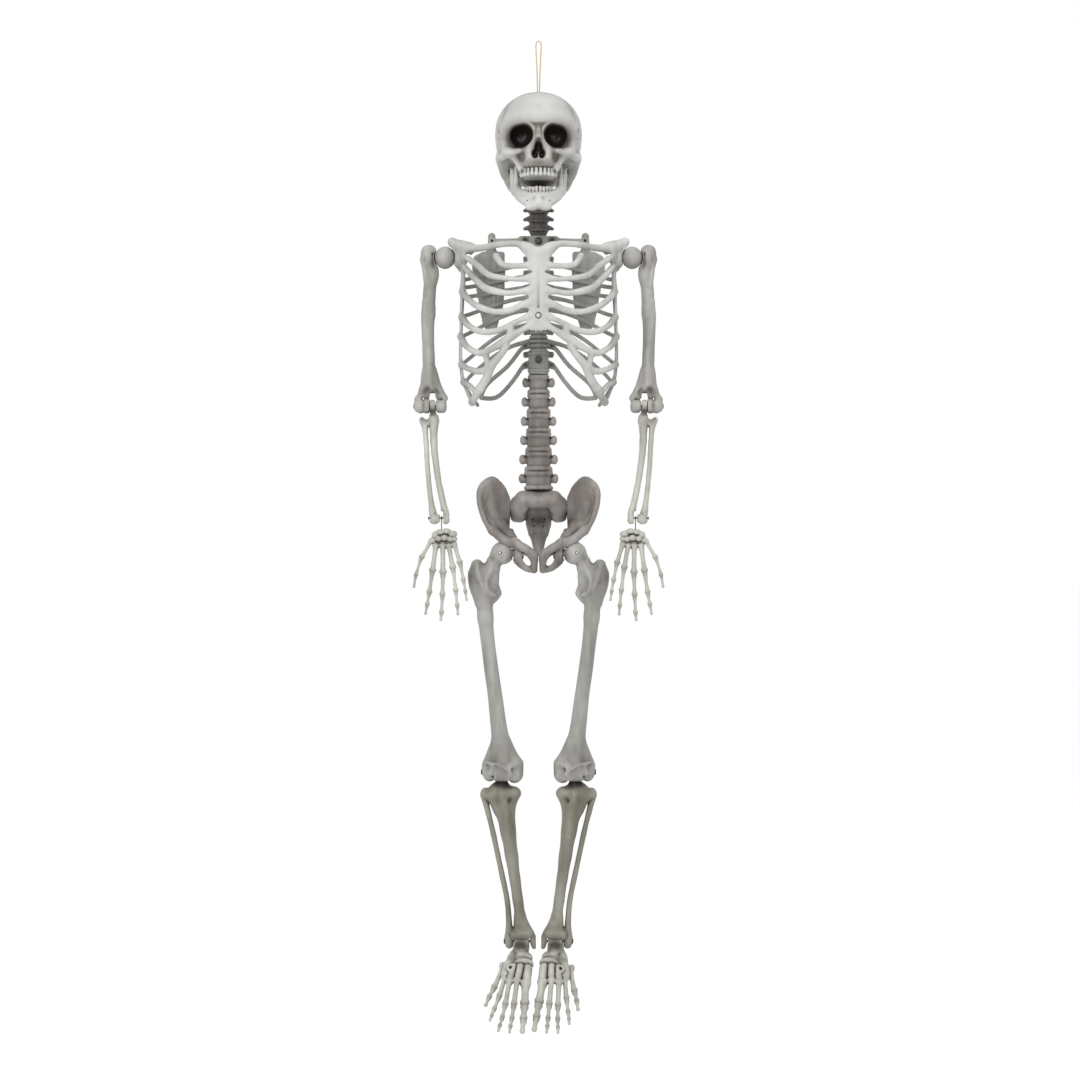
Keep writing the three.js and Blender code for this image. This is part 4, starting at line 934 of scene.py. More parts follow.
def build_lumbar(paint):
    clay = Clay((-36, SPINE_Y - 24, SACRUM_Z - 2), (36, SPINE_Y + 42, WAIST_Z + 34), 1.0, mirror=True)
    pitch = (WAIST_Z - SACRUM_Z) / VERTEBRAE
    for i in range(VERTEBRAE):
        top, r = WAIST_Z - 0.4 - i * pitch, 17.0 + i * 1.15
        last = 0.6 if i == VERTEBRAE - 1 else 0
        clay.rod((0, SPINE_Y, top - 1.5), (0, SPINE_Y, top - pitch + 1.5), r - 2.6, k=1)
        clay.rod((0, SPINE_Y, top - 0.6), (0, SPINE_Y, top - 5.4), r + 0.4, k=5, edge=2)
        clay.rod((0, SPINE_Y, top - pitch + 6.6), (0, SPINE_Y, top - pitch + 0.9 + last), r + 1.2, k=5,
                 edge=2)
        clay.bone([(r - 5, SPINE_Y + 3, top - 14), (r + 2, SPINE_Y + 4, top - 13)], [6, 5.4], k=3)
        clay.ball((r + 4.6, SPINE_Y + 4, top - 12), (5.2, 6, 8), k=2.4)
        clay.bone([(0, SPINE_Y + 14, top - 12), (0, SPINE_Y + 26, top - 15), (0, SPINE_Y + 36, top - 19)],
                  [7, 3.6, 4.4], k=4, flat=(0.8, 1, 1.3))
        # Painted shade in the gap below each vertebra.
        clay.stain_and_shade((0, SPINE_Y - r + 1, top - pitch + 0.4), (r + 4, 10, 1.8), 0.75)
    clay.rod((0, SPINE_Y, WAIST_Z + 32), (0, SPINE_Y, WAIST_Z - 6), 9.2, k=0.8)
    clay.rod((0, 0, WAIST_SCREW_Z), (0, 70, WAIST_SCREW_Z), BORE, dig=True)
    clay.dent(0.3, 10, 4.0)
    cast(clay, "lumbar_spine", paint, "torso", "spine_bone")


HIP_JOINT_X = 46


def build_sacrum(paint):
    clay = Clay((-50, 12, -840), (50, 80, SACRUM_Z + 2), 1.0, mirror=True)
    clay.ball((0, 42, -738), (30, 20, 17), k=2)
    clay.bone([(12, 38, -733), (25, 38, -738), (34, 40, -750)], [12, 15, 13], k=5)
    clay.ball((31, 33, -752), (13.5, 8, 18), k=4)
    clay.ball((31, 48, -752), (14, 14, 20), k=6)
    clay.block((22, 34, -774), (45.8, 60, -735), edge=8, k=6)
    clay.bone([(0, 46, -750), (0, 58, -780), (0, 55, -808), (0, 46, -826)], [17, 14.5, 9.5, 3.4], k=5,
              flat=(1.15, 0.55, 1))
    clay.bone([(12, 54, -764), (15, 58, -778), (12, 57, -792)], [6, 5, 3.5], k=5)
    clay.ball((0, 26, -764), (24, 15, 12), k=6, dig=True)
    for i, z in enumerate((-762, -774, -786, -798)):
        clay.bone([(0, 49 - i * 0.5, z), (11 - i * 2, 50 - i * 0.5, z + 1)], [1.0, 0.8], k=2, dig=True)
        clay.ball((11 - i * 1.6, 49.5, z + 5), (1.3, 4, 1.6), k=1.5, dig=True)
    clay.ball((20, 22, -727), (2.4, 6, 2.4), k=2, dig=True)
    clay.keep(2, SACRUM_Z, above=False, k=2).keep(0, HIP_JOINT_X, above=False, k=1)
    clay.rod((22, 46, -746), (60, 46, -746), BORE, dig=True)
    clay.dent(0.4, 9, 5.0)
    # Painted shade over the sacrum's middle between the hip bones, in the gap along its top, down its
    # lower back and where it meets each hip bone.
    clay.stain_and_shade((0, 44, -770), (22, 14, 15), 0.62).stain_and_shade((0, 26, -722), (22, 14, 2.6), 0.8)
    clay.stain_and_shade((8, 56, -800), (12, 12, 18), 0.3).stain_and_shade((45, 30, -772), (5, 16, 9), 0.6)
    cast(clay, "sacrum", paint, "torso", "spine_bone")


HIP = pivot("hip_swing_left")


def build_hip_bones(paint):
    y, z = HIP[1], HIP[2]
    edge = HIP_JOINT_X + 0.7
    clay = Clay((-2, -34, -872), (104, 62, -696), 1.0)
    # The wing: fans of flattened bars that slant forwards from the sacrum to the rim.
    fan = [
        [(52, 41, -745), (61, 36, -726), (74, 25, -715), (88, 10, -722)],
        [(50, 40, -752), (62, 32, -738), (76, 20, -731), (89, 6, -736)],
        [(50, 38, -760), (62, 28, -752), (76, 15, -750), (88, 2, -754)],
        [(49, 34, -774), (60, 24, -768), (72, 12, -767), (82, 2, -770)],
        [(46, 26, -790), (56, 16, -785), (66, 8, -783), (74, 1, -785)],
    ]
    for line in fan:
        clay.bone(line, [9, 9.5, 9.5, 8.5], k=6, flat=(0.75, 0.42, 1))
    rim = [(48, 45, -742), (54, 43, -727), (63, 36, -713), (74, 27, -705), (85, 17, -709),
           (92.4, 8, -718), (95.5, 0, -732), (93, -4, -752), (86, -6, -772), (76, -5, -790)]
    clay.bone(rim, [3.4, 4, 4.4, 4.6, 4.8, 4.8, 4.6, 4.4, 4.2, 4], k=5, step=7)
    clay.ball((70, -2, -744), (16, 12, 24), k=7, dig=True, turn=("Z", 40))
    clay.bone([(74, -4, -786), (60, -6, -800), (48, -8, -806), (36, -10, -808)], [6, 7.5, 8, 7], k=7)
    clay.bone([(56, 20, -784), (46, 12, -798), (40, 8, -808)], [9, 10, 9], k=7)
    clay.bone([(50, 42, -744), (50, 40, -770)], [6, 5.5], k=5)
    # Socket, branches to the middle and the loop below it.
    clay.rod((28, y, z), (38, y, z), 16, k=6)
    clay.bone([(38, -8, -808), (28, -15, -813), (16, -20, -820), (7, -21, -830)], [8, 7, 6.4, 8], k=5)
    clay.bone([(8, -21, -828), (7, -20, -840), (5.6, -17, -851)], [8, 6.6, 4.6], k=4, flat=(0.9, 1, 1))
    clay.bone([(42, 2, -822), (32, 2, -837), (20, -7, -848), (8, -15, -851)], [8, 7, 6, 4.6], k=4)
    clay.bone([(36, -16, -800), (44, -15, -803)], [2, 3], k=5)
    clay.ball((21, -9, -835), (13, 5.6, 13), k=4)
    clay.ball((19.5, -12, -836), (4.8, 30, 9.6), k=2, dig=True, turn=("Y", 35))
    clay.ball((11, -25, -822), (4, 4, 4.4), k=4)
    clay.keep(0, 0.5, above=True, k=0.5).keep(2, -869, above=True, k=2)
    clay.block((20, 0, -700), (edge, 90, -784), edge=0.3, k=0.6, dig=True)
    clay.ball((HIP[0], y, z), 19.9, k=0.6, dig=True)
    clay.rod((20, y, z), (44, y, z), 7, dig=True)
    clay.block((10, y - 11, z - 11), (26.8, y + 11, z + 11), edge=1, k=1, dig=True)
    clay.rod((40, 46, -746), (62, 46, -746), BORE, dig=True)
    clay.dent(0.35, 9, 6.0)
    # Painted shade in the wing's hollow, beside the sacrum, round the hole in the loop and below the
    # socket.
    clay.stain_and_shade((66, 10, -744), (12, 16, 20), 0.24).stain_and_shade((48, 30, -780), (6, 20, 18), 0.6)
    clay.stain_and_shade((30, -2, -838), (8, 14, 12), 0.4).stain_and_shade((40, -6, -814), (9, 12, 5), 0.35)
    cast_pair(clay, "hip_bone", paint, "torso", "spine_bone")


# ---------- Arms ----------
ELBOW, WRIST = pivot("elbow_bend_left"), pivot("wrist_swing_left")


def build_shoulder_balls(paint):
    x, y, z = SHOULDER
    clay = Clay((118, y - 22, z - 22), (172, y + 22, z + 22), 0.8)
    clay.ball((x, y, z), (17, 17, 18.6), k=0)
    clay.rod((x - 12.5, y, z), (121.9, y, z), 6, k=2)
    clay.block((x - 11.8, y - 4.6, z - 21), (x + 21, y + 4.6, z + 21), edge=0.6, k=0.8, dig=True)
    clay.rod((x, y - 15.8, z), (x, y + 15.8, z), 2.6, k=0.5, dig=True)
    clay.rod((115, y, z), (136, y, z), BORE, dig=True)
    clay.dent(0.2, 8)
    # Painted shade under the ball and at its inner side by the stem.
    clay.stain_and_shade((x, y, z - 15), (16, 16, 7), 0.3).stain_and_shade((138, y, z), (4, 14, 20), 0.3)
    cast_pair(clay, "shoulder_ball", paint, "shoulder", "grey_bone")


def build_humeri(paint):
    x, y, z = SHOULDER
    ex, ey, ez = ELBOW
    clay = Clay((142, -20, ez - 14), (203, 24, -324), 1.1)
    clay.ball((176, 0, -346), (12.4, 14.5, 18.8), k=0)
    clay.block((165.5, -11, -361), (188, 11, -329.4), edge=8, k=5)
    clay.bone([(176, 0, -352), (172.5, 1, -374), (175.5, 1, -400), (177, 2, -440)],
              [12.2, 12, 10.4, 9.9], k=5)
    clay.bone([(177, 2, -430), (178, 2, -480), (176, 3, -540), (174, 3, -556)], [9.9, 9.8, 10.2, 11.5],
              k=4)
    clay.bone([(186, -4, -352), (184, -7, -372), (181, -6, -392)], [3.4, 2.6, 2], k=6)
    clay.bone([(183, -5, -420), (184, -4, -452), (180, -3, -480)], [3, 3.6, 2], k=8)  # muscle ridge
    clay.bone([(168, -11, -344), (166, -12, -364)], [3, 2.4], k=5, dig=True)
    clay.ball((x, y, z), 18.4, k=0.8, dig=True)
    clay.rod((x, y - 4, z), (x, y + 4, z), 10.8, k=0.8)
    clay.block((x, y - 4, z - 10), (x + 22, y + 4, z + 9), edge=1, k=1)
    # The flare to the elbow: two pillars, two epicondyles and the spool between them.
    clay.bone([(179, 3, -532), (185, ey, -560), (193, ey + 1, -577)], [8.5, 7.5, 6.5], k=6)
    clay.bone([(172, 3, -532), (162, ey, -560), (152, ey + 1, -574)], [8.5, 7.5, 6], k=6)
    clay.bone([(194, ey + 1, -576), (193, ey + 1, -584)], [6.5, 5.5], k=3)
    clay.ball((182, 3, -563), (10, 7.6, 12), k=5).ball((161.5, 3, -566), (6.5, 7, 10), k=5)
    clay.rod((ex + 5, ey, ez), (195, ey, ez), 11.2, k=2.5, edge=6)
    clay.bone([(ex + 8, ey, ez), (ex + 12, ey, ez)], [11.6, 10.4], k=3)
    clay.bone([(187, ey, ez), (191, ey, ez)], [10.8, 11], k=3)
    clay.rod((148.5, ey, ez), (ex - 5, ey, ez), 11, k=2.5, edge=6)
    clay.ball((181, -10, -564), (8.5, 8, 9), k=4, dig=True)
    clay.ball((163, -9, -566), (5, 7, 8), k=4, dig=True)
    clay.bone([(176, -3, -500), (176, -4, -548)], [3, 4], k=7)
    clay.rod((ex + 14, ey, ez), (ex + 15.5, ey, ez), 14, k=3, dig=True)
    clay.rod((ex + 14, ey, ez), (ex + 15.5, ey, ez), 9.6, k=2)
    clay.block((ex - 4.8, -30, -566), (ex + 4.8, 40, -614), edge=1, k=0.8, dig=True)
    clay.rod((x, y - 20, z), (x, y + 20, z), PIN_BORE, dig=True)
    clay.rod((140, ey, ez), (210, ey, ez), PIN_BORE, dig=True)
    clay.dent(0.35, 12, 7.0)
    # Painted shade in the groove below the head, in the two hollows above the elbow, under the spool and
    # between its ends.
    clay.stain_and_shade((168, -13, -358), (6.5, 6, 10), 0.62).stain_and_shade((183, -14, -352), (3, 4, 5), 0.3)
    clay.stain_and_shade((181, -8, -566), (9, 8, 7), 0.8).stain_and_shade((163, -8, -568), (6, 8, 7), 0.75)
    clay.stain_and_shade((182, -4, -599), (12, 9, 3.5), 0.5).stain_and_shade((158, -4, -599), (9, 9, 3.5), 0.5)
    clay.stain_and_shade((184, -6, ez + 1), (2.2, 8, 6), 0.35).stain_and_shade((171, 0, -566), (6, 14, 4), 0.7)
    cast_pair(clay, "humerus", paint, "upper_arm", "grey_bone")


def build_forearms(paint):
    x, y, z = ELBOW
    clay = Clay((138, -40, -780), (200, 18, z + 14), 0.95)
    clay.rod((x - 4, y, z), (x + 4, y, z), 10.3, k=1, edge=1.4)
    clay.bone([(x, y, z - 4), (x - 1, y, -602), (168, 3, -612)], [7, 7.6, 8], k=3, flat=(0.62, 1, 1))
    clay.bone([(168, 3, -606), (172, 3, -611), (182, 3, -616)], [7, 6.4, 6], k=4)
    clay.rod((165, 3, -606), (175, 3, -608), 7.5, k=3, edge=2)
    # Radius on the outside, ulna on the inside.
    clay.bone([(188, 3, -609), (184.5, 3, -617), (182, -1, -632), (179.5, -9, -670), (176, -18, -710),
               (171.5, -25, -745), (168.5, -28.5, -762)], [5, 5.6, 4.2, 3.9, 3.9, 4.6, 6.6], k=3, step=9)
    clay.bone([(168, 3, -612), (169, -1, -634), (166, -9, -670), (160, -18, -710), (152.5, -25, -745),
               (148.5, -28.5, -763)], [8, 6, 5.3, 4.9, 5.2, 6.2], k=3, step=9)
    clay.ball((167, -29.5, -771), (8, 6, 7), k=3).ball((148, -29.5, -770.6), (6.4, 6, 7), k=3)
    clay.block((150, -34, -762), (166, -25, -774), edge=2, k=2)
    clay.ball((187, -1, -607), (3.5, 3.5, 2.4), k=2, dig=True)
    clay.block((WRIST[0] - 2.9, -50, -757), (WRIST[0] + 2.9, -10, -790), edge=1, k=1.2, dig=True)
    clay.bone([(x - 4, y - 8.5, z - 14), (x + 4, y - 8.5, z - 14)], 1.4, k=1, dig=True)
    clay.rod((140, y, z), (210, y, z), PIN_BORE, dig=True)
    clay.rod((140, WRIST[1], WRIST[2]), (180, WRIST[1], WRIST[2]), 1.9, dig=True)
    clay.dent(0.3, 8, 1.4)
    # Painted shade below the elbow, beside the radius's head, in the wrist's slot and in a pit at the
    # wrist end.
    clay.stain_and_shade((x, y - 4, -596), (8, 12, 8), 0.75).stain_and_shade((182, 0, -612), (8, 8, 4), 0.35)
    clay.stain_and_shade((WRIST[0], -30, -762), (5, 9, 7), 0.7).stain_and_shade((165, -36, -760), (2.6, 4, 3), 0.55)
    cast_pair(clay, "forearm", paint, "forearm", "small_bone")


# Fingers, thumb first: root, knuckle, middle joints and tip, with the knuckle radius.
FINGERS = [
    ([(172, -31, -805), (187.5, -34, -832), (196, -36, -860), (199, -38, -879)], 4.2),
    ([(164, -31, -812), (169.5, -34, -854), (174.5, -36, -888), (178, -37, -907), (180.5, -38, -922)],
     5.3),
    ([(153, -31, -811), (152.5, -34, -857), (153.5, -36, -892), (155, -37, -920), (156, -38, -932)], 5.5),
    ([(143.5, -31, -812), (136.5, -34, -849), (132, -36, -885), (129.6, -37, -909),
      (128.6, -38, -923)], 5.1),
    ([(134.5, -31, -810), (125, -34, -841), (119.5, -36, -868), (116.5, -37, -886),
      (114.5, -38, -900)], 4.6),
]
CARPALS = [
    ((164.5, -31, -795), (5.4, 6.4, 6)), ((157, -32, -790.6), (6, 6.4, 4.6)),
    ((147, -32, -789), (6.4, 6.6, 4.6)), ((137.5, -31, -793.4), (6.6, 6.2, 5.4)),
    ((169, -31, -803.4), (5, 5.6, 5.2)), ((160, -32.5, -800.6), (5, 6.8, 5)),
    ((150.4, -33, -799.4), (5.6, 7, 5)), ((141.4, -32, -801.4), (5, 6.6, 4.8)),
    ((134.6, -31, -801.4), (4.2, 6, 4.6)),
]
CARPAL_SPREAD = (1.16, 1, 1.02)  # the wrist bones are this much wider and taller, so that they touch
DIGIT_TAPER = (1.0, 0.8, 0.66, 0.56)  # each bone's thickness against the first one's


def digit(clay, joints, r, k=1.0):
    """A finger or toe: each bone flares at both ends, with a narrow waist between."""
    joints = [np.array(p, float) for p in joints]
    for i, (a, b) in enumerate(zip(joints[:-1], joints[1:])):
        size = r * DIGIT_TAPER[i]
        length = np.linalg.norm(b - a)
        way = (b - a) / length
        start = a + way * (size * 0.62 if i else 0)
        end = b - way * size * 0.62
        last = i == len(joints) - 2
        base = size * (1.02 if i else 1.1)
        waist = size * (0.62 if i else 0.68)
        tip = size * (0.8 if last else 1.0)
        spine = [start, start + way * length * 0.17, start + way * length * 0.45,
                 end - way * length * 0.14, end]
        clay.bone(spine, [base, size * 0.76, waist, size * 0.74, tip * 0.92], k=k, step=3)
        if last:
            clay.ball(end, tip, k=0.8)
        else:
            side = np.array([way[2], 0, -way[0]]) * size * 0.34
            clay.ball(end + side, size * 0.8, k=1.2).ball(end - side, size * 0.8, k=1.2)
            # Painted shade in the gap at each joint.
            clay.stain_and_shade(b, size * 0.9, 0.5)


def build_hands(paint):
    clay = Clay((108, -46, -938), (206, -20, -781), 0.8)
    for at, r in CARPALS:
        clay.ball(at, np.array(r) * CARPAL_SPREAD, k=1.3)
    clay.block((140, -33, -808), (168, -28, -794), edge=2, k=1)
    for joints, r in FINGERS:
        digit(clay, joints, r)
    for (a, _), (b, _) in zip(FINGERS[1:], FINGERS[2:]):  # the palm bones touch at their roots
        clay.bone([a[0], b[0]], 3.4, k=1)
    clay.bone([(168, -30, -803), FINGERS[0][0][0]], [4, 4], k=1.5)
    clay.rod((WRIST[0], WRIST[1], -778), (WRIST[0], WRIST[1], -797), 1.3, dig=True)
    clay.dent(0.15, 4, 2.2)
    # Painted shade in the lines between the rows of wrist bones and between them and the palm bones.
    clay.stain_and_shade((154, -33, -808.5), (16, 6, 1.8), 0.5).stain_and_shade((155, -33, -799), (14, 5, 1.6), 0.35)
    cast_pair(clay, "hand", paint, "hand", "small_bone")


# ---------- Legs ----------
KNEE, ANKLE = pivot("knee_bend_left"), pivot("ankle_bend_left")
HIP_PIN_X = HIP[0] + 4


def build_hip_links(paint):
    """Each link turns in the hip bone and carries the thigh's spreading pin."""
    y, z = HIP[1], HIP[2]
    clay = Clay((24, y - 12, z - 12), (74, y + 12, z + 12), 0.8)
    clay.rod((27, y, z), (44, y, z), 6).block((42, y - 4, z - 6), (HIP_PIN_X, y + 4, z + 6), edge=1)
    clay.rod((HIP_PIN_X, y - 4, z), (HIP_PIN_X, y + 4, z), 8.5)
    clay.rod((HIP_PIN_X, y - 9, z), (HIP_PIN_X, y + 9, z), PIN_BORE, dig=True)
    clay.rod((20, y, z), (39, y, z), BORE, dig=True)
    cast_pair(clay, "hip_link", paint, "hip", "grey_bone")


KNEE_R = 13  # the space that the shin's tongue turns in
WALL_R = 17.8  # the front wall's middle, from the knee's axis


def build_femora(paint):
    x, y, z = HIP
    ky, kz = KNEE[1], KNEE[2]
    clay = Clay((24, -20, -1196), (118, 24, -802), 1.15)
    clay.ball((x, y, z), 18.8, k=0)
    clay.bone([(x + 9, y, z - 6), (76, 2, -845), (90, 2, -861)], [11, 12.4, 14.5], k=4)
    clay.bone([(72, 2, -850), (77, 3, -868), (80, 3, -892)], [10, 13.6, 12.5], k=6)
    # Greater trochanter with its notch, the ridge below it and the smaller one inside.
    clay.bone([(98, 4, -846), (101, 4, -858), (99, 3, -878), (93, 2, -902)], [10.5, 13, 12.5, 10.5], k=6)
    clay.ball((100, 2, -842), (8, 8, 7), k=4)
    clay.ball((88, -4, -838), (5, 10, 5), k=5, dig=True)
    clay.bone([(100, -9, -842), (96, -12, -862), (88, -12, -884)], [3.6, 3, 2], k=6)
    clay.bone([(76, -9, -850), (84, -13, -868), (80, -13, -886), (70, -10, -892)], [2.6, 3, 2.6, 2], k=7)
    clay.bone([(70, 4, -879), (66.4, 5, -889), (72, 3, -898)], [6, 7.4, 6], k=5)
    clay.bone([(88, 2, -880), (87, 1, -905), (85.5, 0, -930)], [14, 13, 12], k=6)
    clay.bone([(86, 0, -925), (80, -1, -980), (72, -1, -1040), (65.5, 0, -1090), (59.5, 0, -1136)],
              [12, 11.2, 11.6, 12.6, 15], k=5, step=14)
    # The flare to the knee and the two rounded condyles.
    clay.bone([(65, 1, -1130), (72, ky, -1148), (78.5, ky, -1166)], [11.5, 12, 12.6], k=5)
    clay.bone([(55, 1, -1130), (47, ky, -1148), (39, ky, -1163)], [11.5, 12, 13.4], k=5)
    clay.bone([(60, -4, -1132), (59, -5, -1158)], [12, 12], k=5)
    clay.ball((79, ky - 1, kz - 1), (11.4, 14.4, 14), k=4).ball((39, ky, kz - 3), (14, 15.4, 15.4), k=4)
    clay.ball((85, ky, kz + 6), (4.5, 9, 10), k=5).ball((29, ky, kz + 8), (6, 9, 11), k=5)
    # Slots for the hip link, at each spread of the leg, and for the shin's tongue.
    clay.rod((HIP_PIN_X, y - 4.6, z), (HIP_PIN_X, y + 4.6, z), 9.4, dig=True)
    clay.block((x - 24, y - 4.6, z - 7), (HIP_PIN_X, y + 4.6, z + 21), edge=0.5, k=0.5, dig=True)
    for spread in (0, 7.5, 15, 22.5, 30):
        c, s = math.cos(math.radians(spread)), math.sin(math.radians(spread))
        clay.rod((HIP_PIN_X - 15 * c, y, z + 15 * s), (HIP_PIN_X - 42 * c, y, z + 42 * s), 7.4, dig=True)
    clay.rod((HIP_PIN_X, y - 30, z), (HIP_PIN_X, y + 30, z), 2.7, k=0.5, dig=True)
    clay.rod((47, ky, kz), (69.6, ky, kz), KNEE_R + 1.5, k=0.6, dig=True)
    clay.block((47, -30, kz), (69.6, 40, -1200), edge=0.5, k=0.6, dig=True)
    clay.block((47, ky, kz + 14), (69.6, 40, -1200), edge=0.5, k=0.6, dig=True)
    # The wall that closes the front of the knee, with a light ridge across it.
    wall = [math.radians(a) for a in (-40, -20, 0, 20, 40, 62, 84)]
    clay.bone([(58, ky - WALL_R * math.cos(a), kz + WALL_R * math.sin(a)) for a in wall],
              2.8, k=4, flat=(5.2, 1, 1), step=4)
    clay.bone([(84, -13, -1160), (71, -16.4, -1164), (58, -16, -1169), (46, -15.4, -1180)],
              [2.2, 3, 2.6, 3], k=5)
    clay.bone([(71, -16, -1166), (78, -14, -1178)], [2, 2.6], k=5)
    clay.ball((74, -17, -1152), (7, 3, 4), k=5, dig=True)
    clay.rod((20, ky, kz), (100, ky, kz), PIN_BORE, dig=True)
    clay.dent(0.5, 16, 8.0)
    # Painted shade in the crease round the head, beside the neck and the trochanter, in the pit and the
    # notch by the condyles, and down the shaft's outer side.
    clay.stain_and_shade((x - 14, -6, z - 8), (8, 16, 14), 0.3).stain_and_shade((74, -8, -833), (5, 8, 6), 0.3)
    clay.stain_and_shade((109, 0, -862), (6, 14, 14), 0.42)
    clay.stain_and_shade((59, -4, -1192), (12, 14, 6), 0.7).stain_and_shade((78, -14, -1152), (6, 5, 5), 0.4)
    clay.stain_and_shade((26, -2, -1172), (4, 12, 12), 0.3).stain_and_shade((56, -14, -1180), (8, 6, 8), 0.25)
    clay.stain_and_shade((84, 0, -1004), (7, 12, 30), 0.2)
    cast_pair(clay, "femur", paint, "thigh", "grey_bone")


def build_shins(paint):
    x, y, z = KNEE
    ax, ay, az = ANKLE
    clay = Clay((4, -22, -1468), (100, 30, z + 15), 1.1)
    clay.rod((x - 10, y, z), (x + 10.6, y, z), 11.2, k=1, edge=1.2)
    clay.bone([(x + 0.3, y, z - 4), (x + 0.3, y, -1204)], [9.6, 9.6], k=3, flat=(0.85, 1, 1))
    clay.bone([(x, y - 2, -1203), (x - 1, y - 2, -1211)], [10, 16], k=6)
    # Plateau, with its two shallow seats, and the shaft.
    clay.ball((45, 3, -1211), (15.5, 17, 8.6), k=5).ball((75, 4, -1214), (17, 16, 8.4), k=5)
    clay.block((33, -11, -1216), (74, 18, -1203.5), edge=5, k=4)
    clay.bone([(41, 3, -1213), (53, 2, -1240)], 12, k=6).bone([(72, 3, -1214), (62, 2, -1236)], 11, k=6)
    clay.bone([(62, 3, -1212), (57, 2, -1228), (51, 2, -1256), (45, 3, -1300), (38, 4, -1350),
               (32, 5, -1392), (28.5, 6, -1420)], [20, 17.5, 14, 11, 9.2, 8.6, 9.6], k=6, step=12)
    clay.bone([(58, -12, -1212), (56, -15, -1222), (53, -12, -1240), (48, -7, -1280)],
              [4, 4.4, 3.4, 1.6], k=7)
    clay.bone([(42, -8, -1206), (52, -12, -1209), (59, -11, -1205), (70, -10, -1212)],
              [2.2, 2.2, 2.6, 2], k=4)
    clay.ball((45, -15, -1222), (3.4, 3.4, 4), k=4, dig=True)
    # Fibula, with its head tied to the plateau.
    clay.bone([(86, 6, -1209), (87.5, 6, -1216), (83, 7, -1236), (74, 9, -1274), (62, 11, -1330),
               (51, 11, -1384), (47.5, 10, -1424), (48.5, 9, -1444), (47, 9, -1458)],
              [6.4, 6.8, 4.5, 4.3, 4.4, 4.4, 5, 6.6, 5], k=3, step=12)
    clay.bone([(86, 5, -1212), (76, 3, -1214), (68, 3, -1220)], [6, 6, 6], k=4)
    clay.bone([(84, 3, -1212), (74, 2, -1218)], [6.6, 8], k=4)
    # The ankle's fork.
    clay.bone([(30, 6, -1412), (29, 6, -1426), (27, 6, -1438)], [8.6, 11, 15], k=6)
    clay.block((11, -9, -1433), (45, 22, -1447), edge=6, k=6)
    clay.bone([(24, 5, -1424), (15, 6, -1438), (9, 7, -1449), (7, 7, -1459)], [8, 8.4, 7, 5], k=5,
              flat=(0.95, 1.25, 1))
    clay.ball((48, 9, -1451), (6.4, 8, 10), k=4)
    clay.bone([(40, -5, -1440), (29, -8.5, -1444), (18, -6, -1444)], [2.8, 3, 2.8], k=4)
    clay.rod((x + 50, y, z), (x - 50, y, z), PIN_BORE, dig=True)
    clay.rod((ax - 13.6, ay, az), (ax + 11.6, ay, az), 13, k=0.8, dig=True)
    clay.block((ax - 13.6, -30, az + 7), (ax + 11.6, 40, az - 30), edge=2, k=1, dig=True)
    clay.rod((-5, ay, az), (60, ay, az), PIN_BORE, dig=True)
    clay.dent(0.4, 13, 9.0)
    # Painted shade under the knee's tongue, in the pits below the plateau and in the ankle's fork.
    clay.stain_and_shade((x, y - 8, z - 19), (13, 12, 8), 1.3).stain_and_shade((66, -14, -1220), (8, 6, 8), 0.2)
    clay.stain_and_shade((44, -13, -1222), (5, 5, 5), 0.35).stain_and_shade((ax, 4, -1441), (13, 18, 4), 0.8)
    clay.stain_and_shade((39, 4, -1442), (3, 12, 12), 0.35)
    cast_pair(clay, "shin", paint, "shin", "olive_bone")


# The foot is laid out standing, with the ankle axis at its origin and the toes along -Y.
FOOT_POINT, FOOT_TURN = 33, -6
TOES = [
    ([(-14.5, -68, -28), (-17, -104, -39), (-18, -130, -45), (-19, -156, -47)], 8.4),
    ([(-0.5, -64, -24), (0, -106, -39), (0.5, -130, -45), (1, -146, -46), (1, -158, -47)], 5.7),
    ([(11.5, -66, -27), (14, -106, -40), (16, -130, -45), (18, -146, -46), (19, -157, -47)], 5.5),
    ([(20, -56, -30), (26, -88, -41), (31, -112, -45), (33.5, -126, -46), (35, -136, -47)], 5.3),
    ([(26, -30, -32), (37, -68, -43), (42.5, -86, -46), (46, -104, -47)], 5.8),
]


